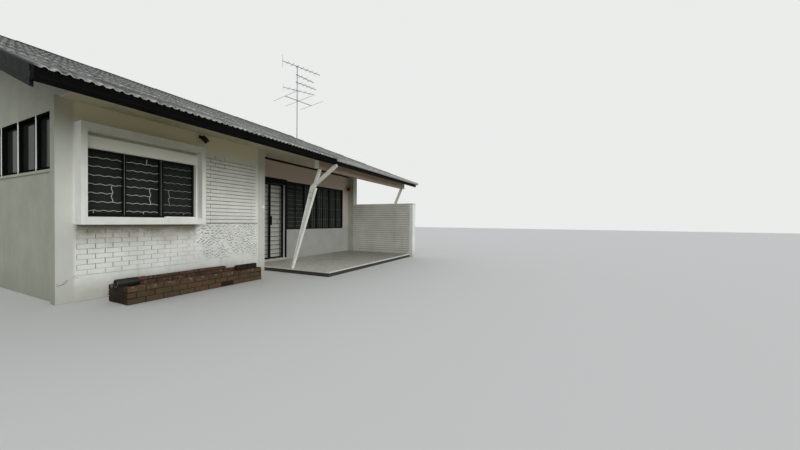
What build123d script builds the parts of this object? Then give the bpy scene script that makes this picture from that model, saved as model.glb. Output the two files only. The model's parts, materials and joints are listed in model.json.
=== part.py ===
"""One house of a semi-detached pair: a white single-storey house with a deep roof.

Millimetres, +Z up. X runs along the front from the free end to the party line, Y runs
from the garden into the house. The origin is on the ground under the middle of the roof.
"""
import os
from math import cos, radians, sin, tan

from build123d import *

# Plan
left_overhang = 720.0
facade_width = 3420.0
porch_width = 4260.0
party_thickness = 230.0
wall_thickness = 150.0
porch_recess = 610.0
front_overhang = 2000.0
rear_soffit_level = 175.0
side_inset = 50.0

# Heights
floor_top = 150.0
porch_top = 100.0
wall_top = 2850.0
board_thickness = 12.0

# Roof
roof_pitch = 21.4
roof_thickness = 130.0
eave_top = 2500.0
ridge_distance = 3610.0
fascia_thickness = 20.0
fascia_height = 50.0
fascia_drop = 60.0
gutter_width = 85.0
gutter_depth = 105.0
gutter_sheet = 4.0
gutter_drop = 35.0
gutter_to_porch = 20.0
verge_board_thickness = 25.0
verge_board_height = 190.0
ridge_cap_radius = 105.0
ridge_cap_rise = 40.0

# Front window and the box surround round it
window_left = 253.0
window_width = 1582.0
window_sill = 1205.0
window_head = 2385.0
surround_projection = 215.0
surround_side = 70.0
surround_edge = 105.0
surround_lap = 5.0
surround_head_gap = 50.0
shutter_box_height = 180.0
shutter_box_depth = 60.0
shutter_guide_width = 25.0
front_window_bars = (0.321, 0.637)

# Doorway in the porch wall
door_offset = 60.0
doorway_width = 1200.0
doorway_head = 2330.0
door_leaf_top = 2165.0
jamb_width = 95.0
gate_edge_width = 50.0

# Porch window
door_to_window = 18.0
window_to_party = 338.0
porch_window_sill = 931.0
porch_window_head = 2303.0
porch_window_bars = (0.267, 0.480, 0.719)

# Frames and glass
frame_width = 38.0
frame_depth = 55.0
glass_thickness = 6.0

# Side and rear walls
side_sill = 1837.0
side_beam_depth = 150.0
side_pier_width = 400.0
coping_height = 40.0
coping_overhang = 20.0
side_post_spacing = 710.0
rear_window_width = 2400.0
rear_window_inset = 1000.0

# Porch
porch_slab_front = 1900.0
porch_slab_inset = 30.0
low_wall_top = 1800.0
low_wall_front = 2000.0
party_pier = 230.0
beam_width = 120.0
beam_distance = 1600.0
beam_bottom = 2300.0
beam_start = 3375.0

# Raking posts
post_thickness = 55.0
post_foot_distance = 830.0
post_foot_width = 35.0
post_head_distance = 1434.0
post_head_width = 153.0
post_head_height = 1920.0
post_slot_width = 24.0
post_slot_length = 120.0
post_slot_edge = 28.0
post_strut_width = 55.0
strut_lap = 0.1
arm_start_distance = 1375.0
arm_start_height = 1912.0
arm_tip_distance = 2040.0
arm_tip_height = 2355.0
arm_width = 64.0
party_post_distance = 1337.0
party_post_width = 70.0
party_post_thickness = 38.0
party_post_inset = 20.0
party_post_head_setback = 40.0

# Garden planter of brick
planter_left = 425.0
planter_length = 2190.0
planter_front = 865.0
planter_width = 525.0
planter_height = 249.0
planter_back_height = 300.0
planter_wall = 105.0
planter_bed = 60.0

# Gate and door
running_gap = 5.0
hinge_gap = 0.3
head_gap = 10.0
edge_post_front = 20.0
edge_post_back = 10.0
inner_post_width = 20.0
gate_bar = 12.0
gate_stile = 30.0
gate_thickness = 20.0
gate_setout = 24.0
gate_bar_spacing = 115.0
gate_floor_gap = 25.0
gate_edge_gap = 18.0
gate_pin_setout = 6.0
door_thickness = 40.0
door_setback = 6.0
door_floor_gap = 8.0
door_hinge_side_gap = 7.0
door_lock_side_gap = 8.0
door_pin_setout = 10.0
pin_radius = 5.0
pin_inset = 3.5
pin_rim = 1.0
knuckle_radius = 9.0
knuckle_length = 60.0
door_strap_length = 30.0
strap_bite = 2.0
lug_thickness = 8.0
lug_bite = 15.0
hinge_margin = 260.0
lock_width = 60.0
lock_height = 240.0
lock_depth = 40.0
lock_middle = 1180.0
knob_radius = 27.0
knob_length = 55.0
knob_inset = 65.0
knob_drop = 40.0

# Small fittings
lamp_distance = 1925.0
lamp_height = 2770.0
lamp_radius = 46.0
lamp_length = 125.0
lamp_aim = (0.55, -0.40, -0.73)
lamp_arm = 60.0
lamp_arm_size = 16.0
lamp_plate = 60.0
lamp_plate_thickness = 12.0
wall_box_width = 170.0
wall_box_height = 130.0
wall_box_depth = 130.0
wall_box_bottom = 2290.0
wall_box_gap = 20.0

# Television aerial: each level is its drop below the mast's top, its turn from +X in
# degrees, and the reach of its boom before and past the mast
mast_setback = 447.0
mast_inset = 20.0
mast_radius = 17.0
mast_top = 7474.0
boom_size = 22.0
clamp_size = 60.0
rod_size = 9.0
boom_levels = [
    (15.0, -19.6, -612.0, 1029.0),
    (363.0, -10.0, -60.0, 826.0),
    (663.0, -16.0, -60.0, 880.0),
    (991.0, -29.4, -542.0, 726.0),
]
boom_rod_length = 300.0
boom_rod_spacing = 200.0
reflector_half_lengths = (250.0, 170.0)
long_rod_drop = 1392.0
long_rod_turn = -12.0
long_boom = (-542.0, 682.0)
long_rods = [(-542.0, 850.0), (70.0, 935.0), (682.0, 780.0)]

# Derived places
house_length = facade_width + porch_width + party_thickness
roof_length = left_overhang + house_length
roof_left = -roof_length / 2
roof_right = roof_length / 2
x_left = roof_left + left_overhang
facade_y = -ridge_distance
x_porch = x_left + facade_width
x_party = x_porch + porch_width
x_right = x_party + party_thickness
porch_y = facade_y + porch_recess
eave_y = facade_y - front_overhang
slope = tan(radians(roof_pitch))
ridge_top = eave_top - slope * eave_y
under_eave = eave_top - roof_thickness
kink_y = eave_y + (wall_top - under_eave) / slope
rear_y = -kink_y - rear_soffit_level

front_inner = facade_y + wall_thickness
porch_inner = porch_y + wall_thickness
rear_inner = rear_y - wall_thickness
side_outer = x_left + side_inset
side_inner = side_outer + wall_thickness
return_inner = x_porch - wall_thickness

window_span = (x_left + window_left, x_left + window_left + window_width)
doorway_span = (x_porch + door_offset, x_porch + door_offset + doorway_width)
porch_window_span = (doorway_span[1] + door_to_window, x_party - window_to_party)
rear_window_spans = [
    (x_left + rear_window_inset, x_left + rear_window_inset + rear_window_width),
    (x_right - rear_window_inset - rear_window_width, x_right - rear_window_inset),
]

os.makedirs("parts", exist_ok=True)


def plan(x_span, y_span, z):
    """A rectangle on the level plane at height z."""
    with BuildSketch(Plane.XY.offset(z)) as outline:
        with Locations((sum(x_span) / 2, sum(y_span) / 2)):
            Rectangle(x_span[1] - x_span[0], y_span[1] - y_span[0])
    return outline.sketch


def section(points, x):
    """A closed outline of (y, z) points on the upright plane across the house at x."""
    with BuildSketch(Plane.YZ.offset(x)) as outline:
        with BuildLine():
            Polyline(*points, close=True)
        make_face()
    return outline.sketch


def block(x_span, y_span, z_span, mode=Mode.ADD):
    """A level block between the given spans, added to the part being built."""
    extrude(plan(x_span, y_span, z_span[0]), amount=z_span[1] - z_span[0], mode=mode)


def about(middle, size):
    """The span of the given size round its middle."""
    return (middle - size / 2, middle + size / 2)


def save(piece, name):
    piece.part.label = name
    export_step(piece.part, f"parts/{name}.step")


def roof_under(y):
    """Height of the roof's underside at y, front or back of the ridge."""
    return ridge_top - roof_thickness - slope * abs(y)


# Floors
with BuildPart() as floor_slab:
    block((side_inner, return_inner), (front_inner, porch_inner), (0, floor_top))
    block((side_inner, x_party), (porch_inner, rear_inner), (0, floor_top))
    block(doorway_span, (porch_y, porch_inner), (0, floor_top))
save(floor_slab, "floor_slab")

slab_front_y = facade_y - porch_slab_front
with BuildPart() as porch_slab:
    block((x_porch + porch_slab_inset, x_party), (slab_front_y, facade_y), (0, porch_top))
    block((x_porch, x_party), (facade_y, porch_y), (0, porch_top))
save(porch_slab, "porch_slab")

# Front wall
with BuildPart() as front_wall_piers:
    block((x_left, window_span[0]), (facade_y, front_inner), (0, wall_top))
    block((window_span[1], x_porch), (facade_y, front_inner), (0, wall_top))
save(front_wall_piers, "front_wall_piers")

with BuildPart() as front_wall_at_window:
    block(window_span, (facade_y, front_inner), (0, window_sill))
    block(window_span, (facade_y, front_inner), (window_head, wall_top))
save(front_wall_at_window, "front_wall_at_window")

with BuildPart() as return_wall:
    block((return_inner, x_porch), (front_inner, porch_inner), (0, wall_top))
save(return_wall, "return_wall")

# Wall at the back of the porch
with BuildPart() as porch_wall_piers:
    for start, end in [
        (x_porch, doorway_span[0]),
        (doorway_span[1], porch_window_span[0]),
        (porch_window_span[1], x_party),
    ]:
        block((start, end), (porch_y, porch_inner), (0, porch_window_head))
save(porch_wall_piers, "porch_wall_piers")

with BuildPart() as porch_wall_sill:
    block(porch_window_span, (porch_y, porch_inner), (0, porch_window_sill))
save(porch_wall_sill, "porch_wall_sill")

with BuildPart() as porch_wall_head:
    block((x_porch, x_party), (porch_y, porch_inner), (porch_window_head, wall_top))
    block(doorway_span, (porch_y, porch_inner), (porch_window_head, doorway_head), Mode.SUBTRACT)
save(porch_wall_head, "porch_wall_head")

# Side wall at the free end
side_span = (front_inner, rear_inner)
side_middle = sum(side_span) / 2
pier_span = (side_middle - side_pier_width / 2, side_middle + side_pier_width / 2)
side_bands = [(side_span[0], pier_span[0]), (pier_span[1], side_span[1])]
side_head = wall_top - side_beam_depth

with BuildPart() as side_wall:
    block((side_outer, side_inner), side_span, (0, side_sill))
    block((side_outer, side_inner), side_span, (side_head, wall_top))
save(side_wall, "side_wall")

with BuildPart() as side_wall_pier:
    block((side_outer, side_inner), pier_span, (side_sill, side_head))
save(side_wall_pier, "side_wall_pier")

with BuildPart() as side_coping:
    for band in side_bands:
        block(
            (side_outer - coping_overhang, side_inner + coping_overhang),
            band,
            (side_sill, side_sill + coping_height),
        )
save(side_coping, "side_coping")

# Rear wall, with windows like the porch's
with BuildPart() as rear_wall:
    block((x_left, x_party), (rear_inner, rear_y), (0, porch_window_sill))
    block((x_left, x_party), (rear_inner, rear_y), (porch_window_head, wall_top))
save(rear_wall, "rear_wall")

with BuildPart() as rear_wall_piers:
    pier_ends = [x_left, *rear_window_spans[0], *rear_window_spans[1], x_party]
    for start, end in zip(pier_ends[::2], pier_ends[1::2]):
        block((start, end), (rear_inner, rear_y), (porch_window_sill, porch_window_head))
save(rear_wall_piers, "rear_wall_piers")

# Party line
with BuildPart() as party_wall:
    block((x_party, x_right), (porch_y - party_pier, rear_y), (0, wall_top))
save(party_wall, "party_wall")

with BuildPart() as porch_party_wall:
    block(
        (x_party, x_right),
        (facade_y - low_wall_front, porch_y - party_pier),
        (0, low_wall_top),
    )
save(porch_party_wall, "porch_party_wall")

# Gables close the roof space at both ends
gable_outline = [(kink_y, wall_top), (0, roof_under(0)), (-kink_y, wall_top)]
with BuildPart() as gables:
    extrude(section(gable_outline, side_outer), amount=wall_thickness)
    extrude(section(gable_outline, x_party), amount=party_thickness)
save(gables, "gables")

# Ceilings and soffits
ceiling_z = (wall_top - board_thickness, wall_top)
with BuildPart() as ceiling:
    block((side_inner, return_inner), (front_inner, porch_inner), ceiling_z)
    block((side_inner, x_party), (porch_inner, rear_inner), ceiling_z)
save(ceiling, "ceiling")


def soffit_outline(wall_y, side):
    """The bent soffit board from the wall out to the eave. side is -1 front, 1 back."""
    places = [(wall_y, wall_top), (-side * kink_y, wall_top), (-side * eave_y, under_eave)]
    return places + [(y, z - board_thickness) for y, z in reversed(places)]


with BuildPart() as soffits:
    for wall_y, side in [(facade_y, -1), (rear_y, 1)]:
        extrude(section(soffit_outline(wall_y, side), side_outer), amount=x_right - side_outer)
save(soffits, "soffits")

with BuildPart() as porch_ceiling:
    block((x_porch, x_party), (facade_y, porch_y), ceiling_z)
save(porch_ceiling, "porch_ceiling")

# Roof
slab_left = roof_left + verge_board_thickness

roof_outline = [
    (eave_y, eave_top),
    (0, ridge_top),
    (0, ridge_top - roof_thickness),
    (eave_y, under_eave),
]
with BuildPart() as roof_front:
    extrude(section(roof_outline, slab_left), amount=roof_right - slab_left)
save(roof_front, "roof_front")

with BuildPart() as roof_back:
    mirror(roof_front.part, about=Plane.XZ)
save(roof_back, "roof_back")

with BuildPart() as ridge_cap:
    with BuildSketch(Plane.YZ.offset(slab_left)):
        with Locations((0, ridge_top + ridge_cap_rise - ridge_cap_radius)):
            Circle(ridge_cap_radius)
        with BuildLine():
            Polyline(
                (0, ridge_top),
                (eave_y, eave_top),
                (eave_y, 0),
                (-eave_y, 0),
                (-eave_y, eave_top),
                close=True,
            )
        make_face(mode=Mode.SUBTRACT)
    extrude(amount=roof_right - slab_left)
save(ridge_cap, "ridge_cap")

verge_outline = [
    (eave_y, eave_top),
    (-hinge_gap, ridge_top),
    (-hinge_gap, ridge_top - verge_board_height),
    (eave_y, eave_top - verge_board_height),
]
with BuildPart() as verge_boards:
    extrude(section(verge_outline, roof_left), amount=verge_board_thickness)
    mirror(verge_boards.part, about=Plane.XZ)
save(verge_boards, "verge_boards")

# Dark boards below the roof's edge, and the gutters on them
fascia_top = eave_top - fascia_drop
fascia_z = (fascia_top - fascia_height, fascia_top)
fascia_y = eave_y - fascia_thickness
with BuildPart() as fascia_boards:
    block((roof_left, roof_right), (fascia_y, eave_y), fascia_z)
    block((roof_left, roof_right), (-eave_y, -fascia_y), fascia_z)
save(fascia_boards, "fascia_boards")

gutter_bottom = fascia_z[0] - gutter_drop
gutter_z = (gutter_bottom, gutter_bottom + gutter_depth)
with BuildPart() as gutters:
    for end, near, far in [
        (x_porch - gutter_to_porch, fascia_y - gutter_width, fascia_y),
        (roof_right, -fascia_y, gutter_width - fascia_y),
    ]:
        block((roof_left, end), (near, far), gutter_z)
        block(
            (roof_left + gutter_sheet, end - gutter_sheet),
            (near + gutter_sheet, far - gutter_sheet),
            (gutter_z[0] + gutter_sheet, gutter_z[1]),
            Mode.SUBTRACT,
        )
save(gutters, "gutters")

# Porch beam and its raking posts
beam_y = facade_y - beam_distance
beam_span = (beam_y - beam_width / 2, beam_y + beam_width / 2)


def soffit_under(y):
    """Height of the sloping soffit board's underside at y."""
    return under_eave - board_thickness + slope * (y - eave_y)


beam_outline = [
    (beam_span[0], beam_bottom),
    (beam_span[1], beam_bottom),
    (beam_span[1], soffit_under(beam_span[1])),
    (beam_span[0], soffit_under(beam_span[0])),
]
party_post_x = x_party + party_post_inset
beam_end = party_post_x + party_post_thickness
with BuildPart() as porch_beam:
    extrude(section(beam_outline, x_left + beam_start), amount=beam_end - x_left - beam_start)
save(porch_beam, "porch_beam")


def strip(start, end, start_width, end_width):
    """The four corners of a straight tapered board from start to end."""
    run = Vector(*end) - Vector(*start)
    across = Vector(-run.Y, run.X).normalized() / 2
    corners = [
        Vector(*start) - across * start_width,
        Vector(*end) - across * end_width,
        Vector(*end) + across * end_width,
        Vector(*start) + across * start_width,
    ]
    return [(corner.X, corner.Y) for corner in corners]


def in_front(distance, z):
    """The (y, z) point at a distance in front of the facade."""
    return (facade_y - distance, z)


def point_between(start, end, share):
    return tuple(a + (b - a) * share for a, b in zip(start, end))


post_x = x_porch + porch_slab_inset
post_foot = in_front(post_foot_distance, porch_top)
post_head = in_front(post_head_distance, post_head_height)
post_top = (beam_y, beam_bottom)
strut_foot = point_between(post_head, post_foot, strut_lap)
arm_tip = in_front(arm_tip_distance, arm_tip_height)
slot_shift = post_head_width / 2 - post_slot_edge - post_slot_width / 2
slot_start = (post_head[0] - slot_shift, post_head[1])
slot_end = point_between(slot_start, post_foot, post_slot_length / post_head_height)
over_posts = [
    (arm_tip[0] - arm_width, fascia_z[0]),
    (eave_y, fascia_z[0]),
    (eave_y, soffit_under(eave_y)),
    (kink_y, soffit_under(kink_y)),
    (kink_y, ridge_top),
    (arm_tip[0] - arm_width, ridge_top),
]

with BuildPart() as raking_posts:
    for outline in [
        strip(post_foot, post_head, post_foot_width, post_head_width),
        strip(strut_foot, post_top, post_strut_width, post_strut_width),
        strip(in_front(arm_start_distance, arm_start_height), arm_tip, arm_width, arm_width),
    ]:
        extrude(section(outline, post_x), amount=post_thickness)
    extrude(
        section(strip(slot_start, slot_end, post_slot_width, post_slot_width), post_x),
        amount=post_thickness,
        mode=Mode.SUBTRACT,
    )
    extrude(
        section(
            strip(
                in_front(party_post_distance, low_wall_top),
                (beam_y + party_post_head_setback, beam_bottom),
                party_post_width,
                party_post_width,
            ),
            party_post_x,
        ),
        amount=party_post_thickness,
    )
    spare = post_head_width
    block((post_x, x_right), beam_span, (beam_bottom, wall_top), Mode.SUBTRACT)
    block(
        (post_x, x_porch + doorway_width),
        (slab_front_y, facade_y),
        (porch_top - spare, porch_top),
        Mode.SUBTRACT,
    )
    block(
        (x_party, x_right),
        (slab_front_y, facade_y),
        (low_wall_top - spare, low_wall_top),
        Mode.SUBTRACT,
    )
    extrude(section(over_posts, post_x), amount=post_thickness, mode=Mode.SUBTRACT)
save(raking_posts, "raking_posts")

# Front window
inner_span = (window_span[0] + surround_lap, window_span[1] - surround_lap)
surround_span = (inner_span[0] - surround_side, inner_span[1] + surround_side)
surround_z = (window_sill - surround_edge, window_head + surround_head_gap + surround_edge)
with BuildPart() as window_surround:
    block(surround_span, (facade_y - surround_projection, facade_y), surround_z)
    block(
        inner_span,
        (facade_y - surround_projection, facade_y),
        (surround_z[0] + surround_edge, surround_z[1] - surround_edge),
        Mode.SUBTRACT,
    )
save(window_surround, "window_surround")


def share_places(span, shares):
    """The places at the given shares of a span."""
    return [span[0] + (span[1] - span[0]) * share for share in shares]


def framed_window(x_span, z_span, y_outer, bars):
    """A frame with upright bars at the given x, its outer face at y_outer."""
    edges = [x_span[0], *bars, x_span[1]]
    depth = (y_outer, y_outer + frame_depth)
    block(x_span, depth, z_span)
    for index, (start, end) in enumerate(zip(edges, edges[1:])):
        left = start + (frame_width if index == 0 else frame_width / 2)
        right = end - (frame_width if index == len(bars) else frame_width / 2)
        block((left, right), depth, (z_span[0] + frame_width, z_span[1] - frame_width), Mode.SUBTRACT)


shutter_bottom = window_head - shutter_box_height
shutter_y = (facade_y - shutter_box_depth, facade_y)
with BuildPart() as shutter_box:
    block(inner_span, shutter_y, (shutter_bottom, window_head))
    for start in (inner_span[0], inner_span[1] - shutter_guide_width):
        block(
            (start, start + shutter_guide_width),
            shutter_y,
            (surround_z[0] + surround_edge, shutter_bottom - hinge_gap),
        )
save(shutter_box, "shutter_box")

front_bars = share_places(window_span, front_window_bars)
with BuildPart() as front_window_frame:
    framed_window(window_span, (window_sill, window_head), facade_y, front_bars)
save(front_window_frame, "front_window_frame")

# Porch window
porch_bars = share_places(porch_window_span, porch_window_bars)
porch_window_z = (porch_window_sill, porch_window_head)
with BuildPart() as porch_window_frame:
    framed_window(porch_window_span, porch_window_z, porch_y, porch_bars)
save(porch_window_frame, "porch_window_frame")

def bars_between(start, end, spacing):
    """Even upright places between start and end, about the given spacing apart."""
    count = max(1, round((end - start) / spacing))
    return [start + (end - start) * index / count for index in range(1, count)]


# Side and rear windows
side_window_z = (side_sill + coping_height, side_head)
rear_frame_y = rear_y - frame_depth
with BuildPart() as side_and_rear_frames:
    for band in side_bands:
        block((side_outer, side_outer + frame_depth), band, side_window_z)
        edges = [band[0], *bars_between(*band, side_post_spacing), band[1]]
        for start, end in zip(edges, edges[1:]):
            block(
                (side_outer, side_outer + frame_depth),
                (start + frame_width / 2, end - frame_width / 2),
                (side_window_z[0] + frame_width, side_window_z[1] - frame_width),
                Mode.SUBTRACT,
            )
    for span in rear_window_spans:
        framed_window(span, porch_window_z, rear_frame_y, bars_between(*span, side_post_spacing))
save(side_and_rear_frames, "side_and_rear_frames")

# One sheet of glass behind each frame
with BuildPart() as window_glass:
    for span, z_span, y in [
        (window_span, (window_sill, window_head), facade_y + frame_depth),
        (porch_window_span, porch_window_z, porch_y + frame_depth),
        *[(span, porch_window_z, rear_frame_y - glass_thickness) for span in rear_window_spans],
    ]:
        block(span, (y, y + glass_thickness), z_span)
    for band in side_bands:
        glass_x = side_outer + frame_depth
        block((glass_x, glass_x + glass_thickness), band, side_window_z)
save(window_glass, "window_glass")

# Doorway: black edge posts and head, pale timber frame behind
opening = (
    doorway_span[0] + gate_edge_width + jamb_width,
    doorway_span[1] - gate_edge_width - jamb_width,
)
gate_y = (porch_y - gate_setout, porch_y - gate_setout + gate_thickness)
gate_pin_y = gate_y[0] - gate_pin_setout
door_y = (porch_inner - door_setback - door_thickness, porch_inner - door_setback)
door_pin_y = porch_inner + door_pin_setout
edge_post_y = (porch_y - edge_post_front, porch_y + edge_post_back)
head_bottom = door_leaf_top + head_gap


def hinge_heights(bottom, top):
    return (bottom + hinge_margin, top - hinge_margin)


def pin_with_lug(x, y, z, lug_x, lug_y):
    """A fixed hinge pin standing on a lug that reaches back to its frame."""
    block(lug_x, lug_y, (z - lug_thickness, z))
    with BuildSketch(Plane.XY.offset(z)) as foot:
        with Locations((x, y)):
            Circle(pin_radius)
    extrude(foot.sketch, amount=knuckle_length)


def knuckle(x, y, z, strap_x, strap_y):
    """A hinge knuckle round a pin, with the strap that joins it to its leaf."""
    base = z + hinge_gap
    block(strap_x, strap_y, (base, base + knuckle_length))
    with BuildSketch(Plane.XY.offset(base)) as ring:
        with Locations((x, y)):
            Circle(knuckle_radius)
    extrude(ring.sketch, amount=knuckle_length)
    with BuildSketch(Plane.XY.offset(base)) as bore:
        with Locations((x, y)):
            Circle(pin_radius + hinge_gap)
    extrude(bore.sketch, amount=knuckle_length, mode=Mode.SUBTRACT)


gate_bottom = floor_top + gate_floor_gap
gate_top = door_leaf_top
gate_pins = (opening[0] + pin_inset, opening[1] - pin_inset)
gate_hinges = hinge_heights(gate_bottom, gate_top)
edge_post_z = (floor_top, head_bottom - hinge_gap)
with BuildPart() as gate_frame:
    block(doorway_span, edge_post_y, (head_bottom, doorway_head))
    for start in (doorway_span[0], doorway_span[1] - gate_edge_width):
        block((start, start + gate_edge_width), edge_post_y, edge_post_z)
    for side, post_edge, pin_x in zip((-1, 1), opening, gate_pins):
        block(sorted((post_edge, post_edge + side * inner_post_width)), edge_post_y, edge_post_z)
        lug_span = sorted((post_edge + side * lug_bite, pin_x - side * (pin_radius + pin_rim)))
        lug_y = (gate_pin_y - pin_radius - pin_rim, edge_post_y[0] + pin_radius)
        for z in gate_hinges:
            pin_with_lug(pin_x, gate_pin_y, z, lug_span, lug_y)
save(gate_frame, "gate_frame")

jamb_y = (edge_post_y[1], porch_inner)
with BuildPart() as door_frame:
    block(
        (doorway_span[0] + gate_edge_width, doorway_span[1] - gate_edge_width),
        jamb_y,
        (head_bottom, doorway_head),
    )
    for side, edge in zip((-1, 1), opening):
        block(sorted((edge, edge + side * jamb_width)), jamb_y, edge_post_z)
    for z in hinge_heights(floor_top, door_leaf_top):
        pin_x = opening[0] + pin_inset
        pin_with_lug(
            pin_x,
            door_pin_y,
            z,
            (opening[0] - lug_bite, pin_x + pin_radius),
            (porch_inner - pin_rim, door_pin_y + knuckle_radius),
        )
save(door_frame, "door_frame")

leaf_meeting = sum(opening) / 2


def gate_leaf(edge, side):
    """One leaf of the barred gate. side is -1 for the left leaf, 1 for the right one."""
    hinge_edge = edge - side * gate_edge_gap
    meeting_edge = leaf_meeting + side * running_gap / 2
    leaf_span = sorted((hinge_edge, meeting_edge))
    block(leaf_span, gate_y, (gate_bottom, gate_top))
    block(
        (leaf_span[0] + gate_stile, leaf_span[1] - gate_stile),
        gate_y,
        (gate_bottom + gate_stile, gate_top - gate_stile),
        Mode.SUBTRACT,
    )
    middle_y = sum(gate_y) / 2
    for z in bars_between(gate_bottom, gate_top, gate_bar_spacing):
        block(
            (leaf_span[0] + gate_stile, leaf_span[1] - gate_stile),
            (middle_y - gate_bar / 2, middle_y + gate_bar / 2),
            (z - gate_bar / 2, z + gate_bar / 2),
        )
    pin_x = edge - side * pin_inset
    for z in gate_hinges:
        knuckle(
            pin_x,
            gate_pin_y,
            z,
            sorted((pin_x, hinge_edge - side * gate_stile / 2)),
            (gate_pin_y - knuckle_radius + pin_rim, gate_y[0] + strap_bite),
        )


with BuildPart() as gate_leaf_left:
    gate_leaf(opening[0], -1)
save(gate_leaf_left, "gate_leaf_left")

with BuildPart() as gate_leaf_right:
    gate_leaf(opening[1], 1)
    lock_x = leaf_meeting + running_gap / 2
    block(
        (lock_x, lock_x + lock_width),
        (gate_y[0] - lock_depth / 2, gate_y[1]),
        (lock_middle - lock_height / 2, lock_middle + lock_height / 2),
    )
save(gate_leaf_right, "gate_leaf_right")

door_bottom = floor_top + door_floor_gap
with BuildPart() as door_leaf:
    door_span = (opening[0] + door_hinge_side_gap, opening[1] - door_lock_side_gap)
    block(door_span, door_y, (door_bottom, door_leaf_top))
    for z in hinge_heights(floor_top, door_leaf_top):
        pin_x = opening[0] + pin_inset
        knuckle(
            pin_x,
            door_pin_y,
            z,
            (pin_x, pin_x + door_strap_length),
            (door_y[1] - strap_bite, door_pin_y + knuckle_radius - pin_rim),
        )
    with BuildSketch(Plane.XZ.offset(-door_y[0])) as knob:
        with Locations((door_span[1] - knob_inset, lock_middle - knob_drop)):
            Circle(knob_radius)
    extrude(knob.sketch, amount=knob_length)
save(door_leaf, "door_leaf")

# Planter
planter_x = (x_left + planter_left, x_left + planter_left + planter_length)
planter_y = (facade_y - planter_front, facade_y - planter_front + planter_width)
with BuildPart() as planter:
    block(planter_x, planter_y, (0, planter_height))
    block(
        planter_x,
        (planter_y[1] - planter_wall, planter_y[1]),
        (planter_height, planter_back_height),
    )
    block(
        (planter_x[0] + planter_wall, planter_x[1] - planter_wall),
        (planter_y[0] + planter_wall, planter_y[1] - planter_wall),
        (planter_bed, planter_back_height),
        Mode.SUBTRACT,
    )
save(planter, "planter")

# Fittings on the walls
lamp_x = x_left + lamp_distance
lamp_back = (lamp_x, facade_y - lamp_arm, lamp_height)
with BuildPart() as spot_lamp:
    block(
        about(lamp_x, lamp_plate),
        (facade_y - lamp_plate_thickness, facade_y),
        about(lamp_height, lamp_plate),
    )
    block(
        about(lamp_x, lamp_arm_size),
        (facade_y - lamp_arm - lamp_arm_size, facade_y),
        about(lamp_height, lamp_arm_size),
    )
    with BuildSketch(Plane(lamp_back, z_dir=lamp_aim)) as can:
        Circle(lamp_radius)
    extrude(can.sketch, amount=lamp_length)
save(spot_lamp, "spot_lamp")

with BuildPart() as red_wall_box:
    block(
        (x_party - wall_box_depth, x_party),
        (porch_y - wall_box_gap - wall_box_width, porch_y - wall_box_gap),
        (wall_box_bottom, wall_box_bottom + wall_box_height),
    )
save(red_wall_box, "red_wall_box")

# Aerial
mast = (x_party + mast_inset, -mast_setback)
mast_base = ridge_top - slope * mast_setback
with BuildPart() as aerial_mast:
    with BuildSketch(Plane.XY.offset(mast_base - mast_radius)) as foot:
        with Locations(mast):
            Circle(mast_radius)
    extrude(foot.sketch, amount=mast_top - mast_base + mast_radius)
    extrude(
        section(roof_outline, mast[0] - mast_radius), amount=2 * mast_radius, mode=Mode.SUBTRACT
    )
save(aerial_mast, "aerial_mast")


def turned_block(turn, run, across, z_span):
    """A block at the mast in spans along and across a direction turned from +X."""
    heading = (cos(radians(turn)), sin(radians(turn)), 0)
    with BuildSketch(Plane((*mast, z_span[0]), x_dir=heading, z_dir=(0, 0, 1))) as outline:
        with Locations((sum(run) / 2, sum(across) / 2)):
            Rectangle(run[1] - run[0], across[1] - across[0])
    extrude(outline.sketch, amount=z_span[1] - z_span[0])


with BuildPart() as aerial_booms:
    for drop, turn, start, end in boom_levels:
        level = mast_top - drop
        turned_block(turn, (start, end), about(0, boom_size), about(level, boom_size))
        turned_block(turn, about(0, clamp_size), about(0, clamp_size), about(level, boom_size))
        for place in bars_between(start, end, boom_rod_spacing):
            reach = about(0, boom_rod_length)
            turned_block(turn, about(place, rod_size), reach, about(level, rod_size))
    long_rod_z = mast_top - long_rod_drop
    turned_block(long_rod_turn, long_boom, about(0, boom_size), about(long_rod_z, boom_size))
    turned_block(
        long_rod_turn, about(0, clamp_size), about(0, clamp_size), about(long_rod_z, boom_size)
    )
    for place, half_length in long_rods:
        reach = about(0, 2 * half_length)
        turned_block(long_rod_turn, about(place, rod_size), reach, about(long_rod_z, rod_size))
    with BuildSketch(Plane.XY.offset(mast_base)) as hole:
        with Locations(mast):
            Circle(mast_radius)
    extrude(hole.sketch, amount=mast_top + clamp_size - mast_base, mode=Mode.SUBTRACT)
save(aerial_booms, "aerial_booms")

with BuildPart() as aerial_reflectors:
    for (drop, turn, start, end), half_length in zip(boom_levels[::3], reflector_half_lengths):
        turned_block(
            turn,
            (start - rod_size, start),
            about(0, rod_size),
            about(mast_top - drop, 2 * half_length),
        )
save(aerial_reflectors, "aerial_reflectors")
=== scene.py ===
"""Looks of the semi-detached house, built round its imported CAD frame. Metres, +Z up.

X runs along the front from the free end to the party line, Y from the garden into the house.
Tones and small shifts come from one seeded generator, so each run gives the same house."""
import json
from itertools import product
from math import atan2, cos, pi, radians, sin

import bpy
import numpy as np
from mathutils import Matrix, Vector


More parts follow.
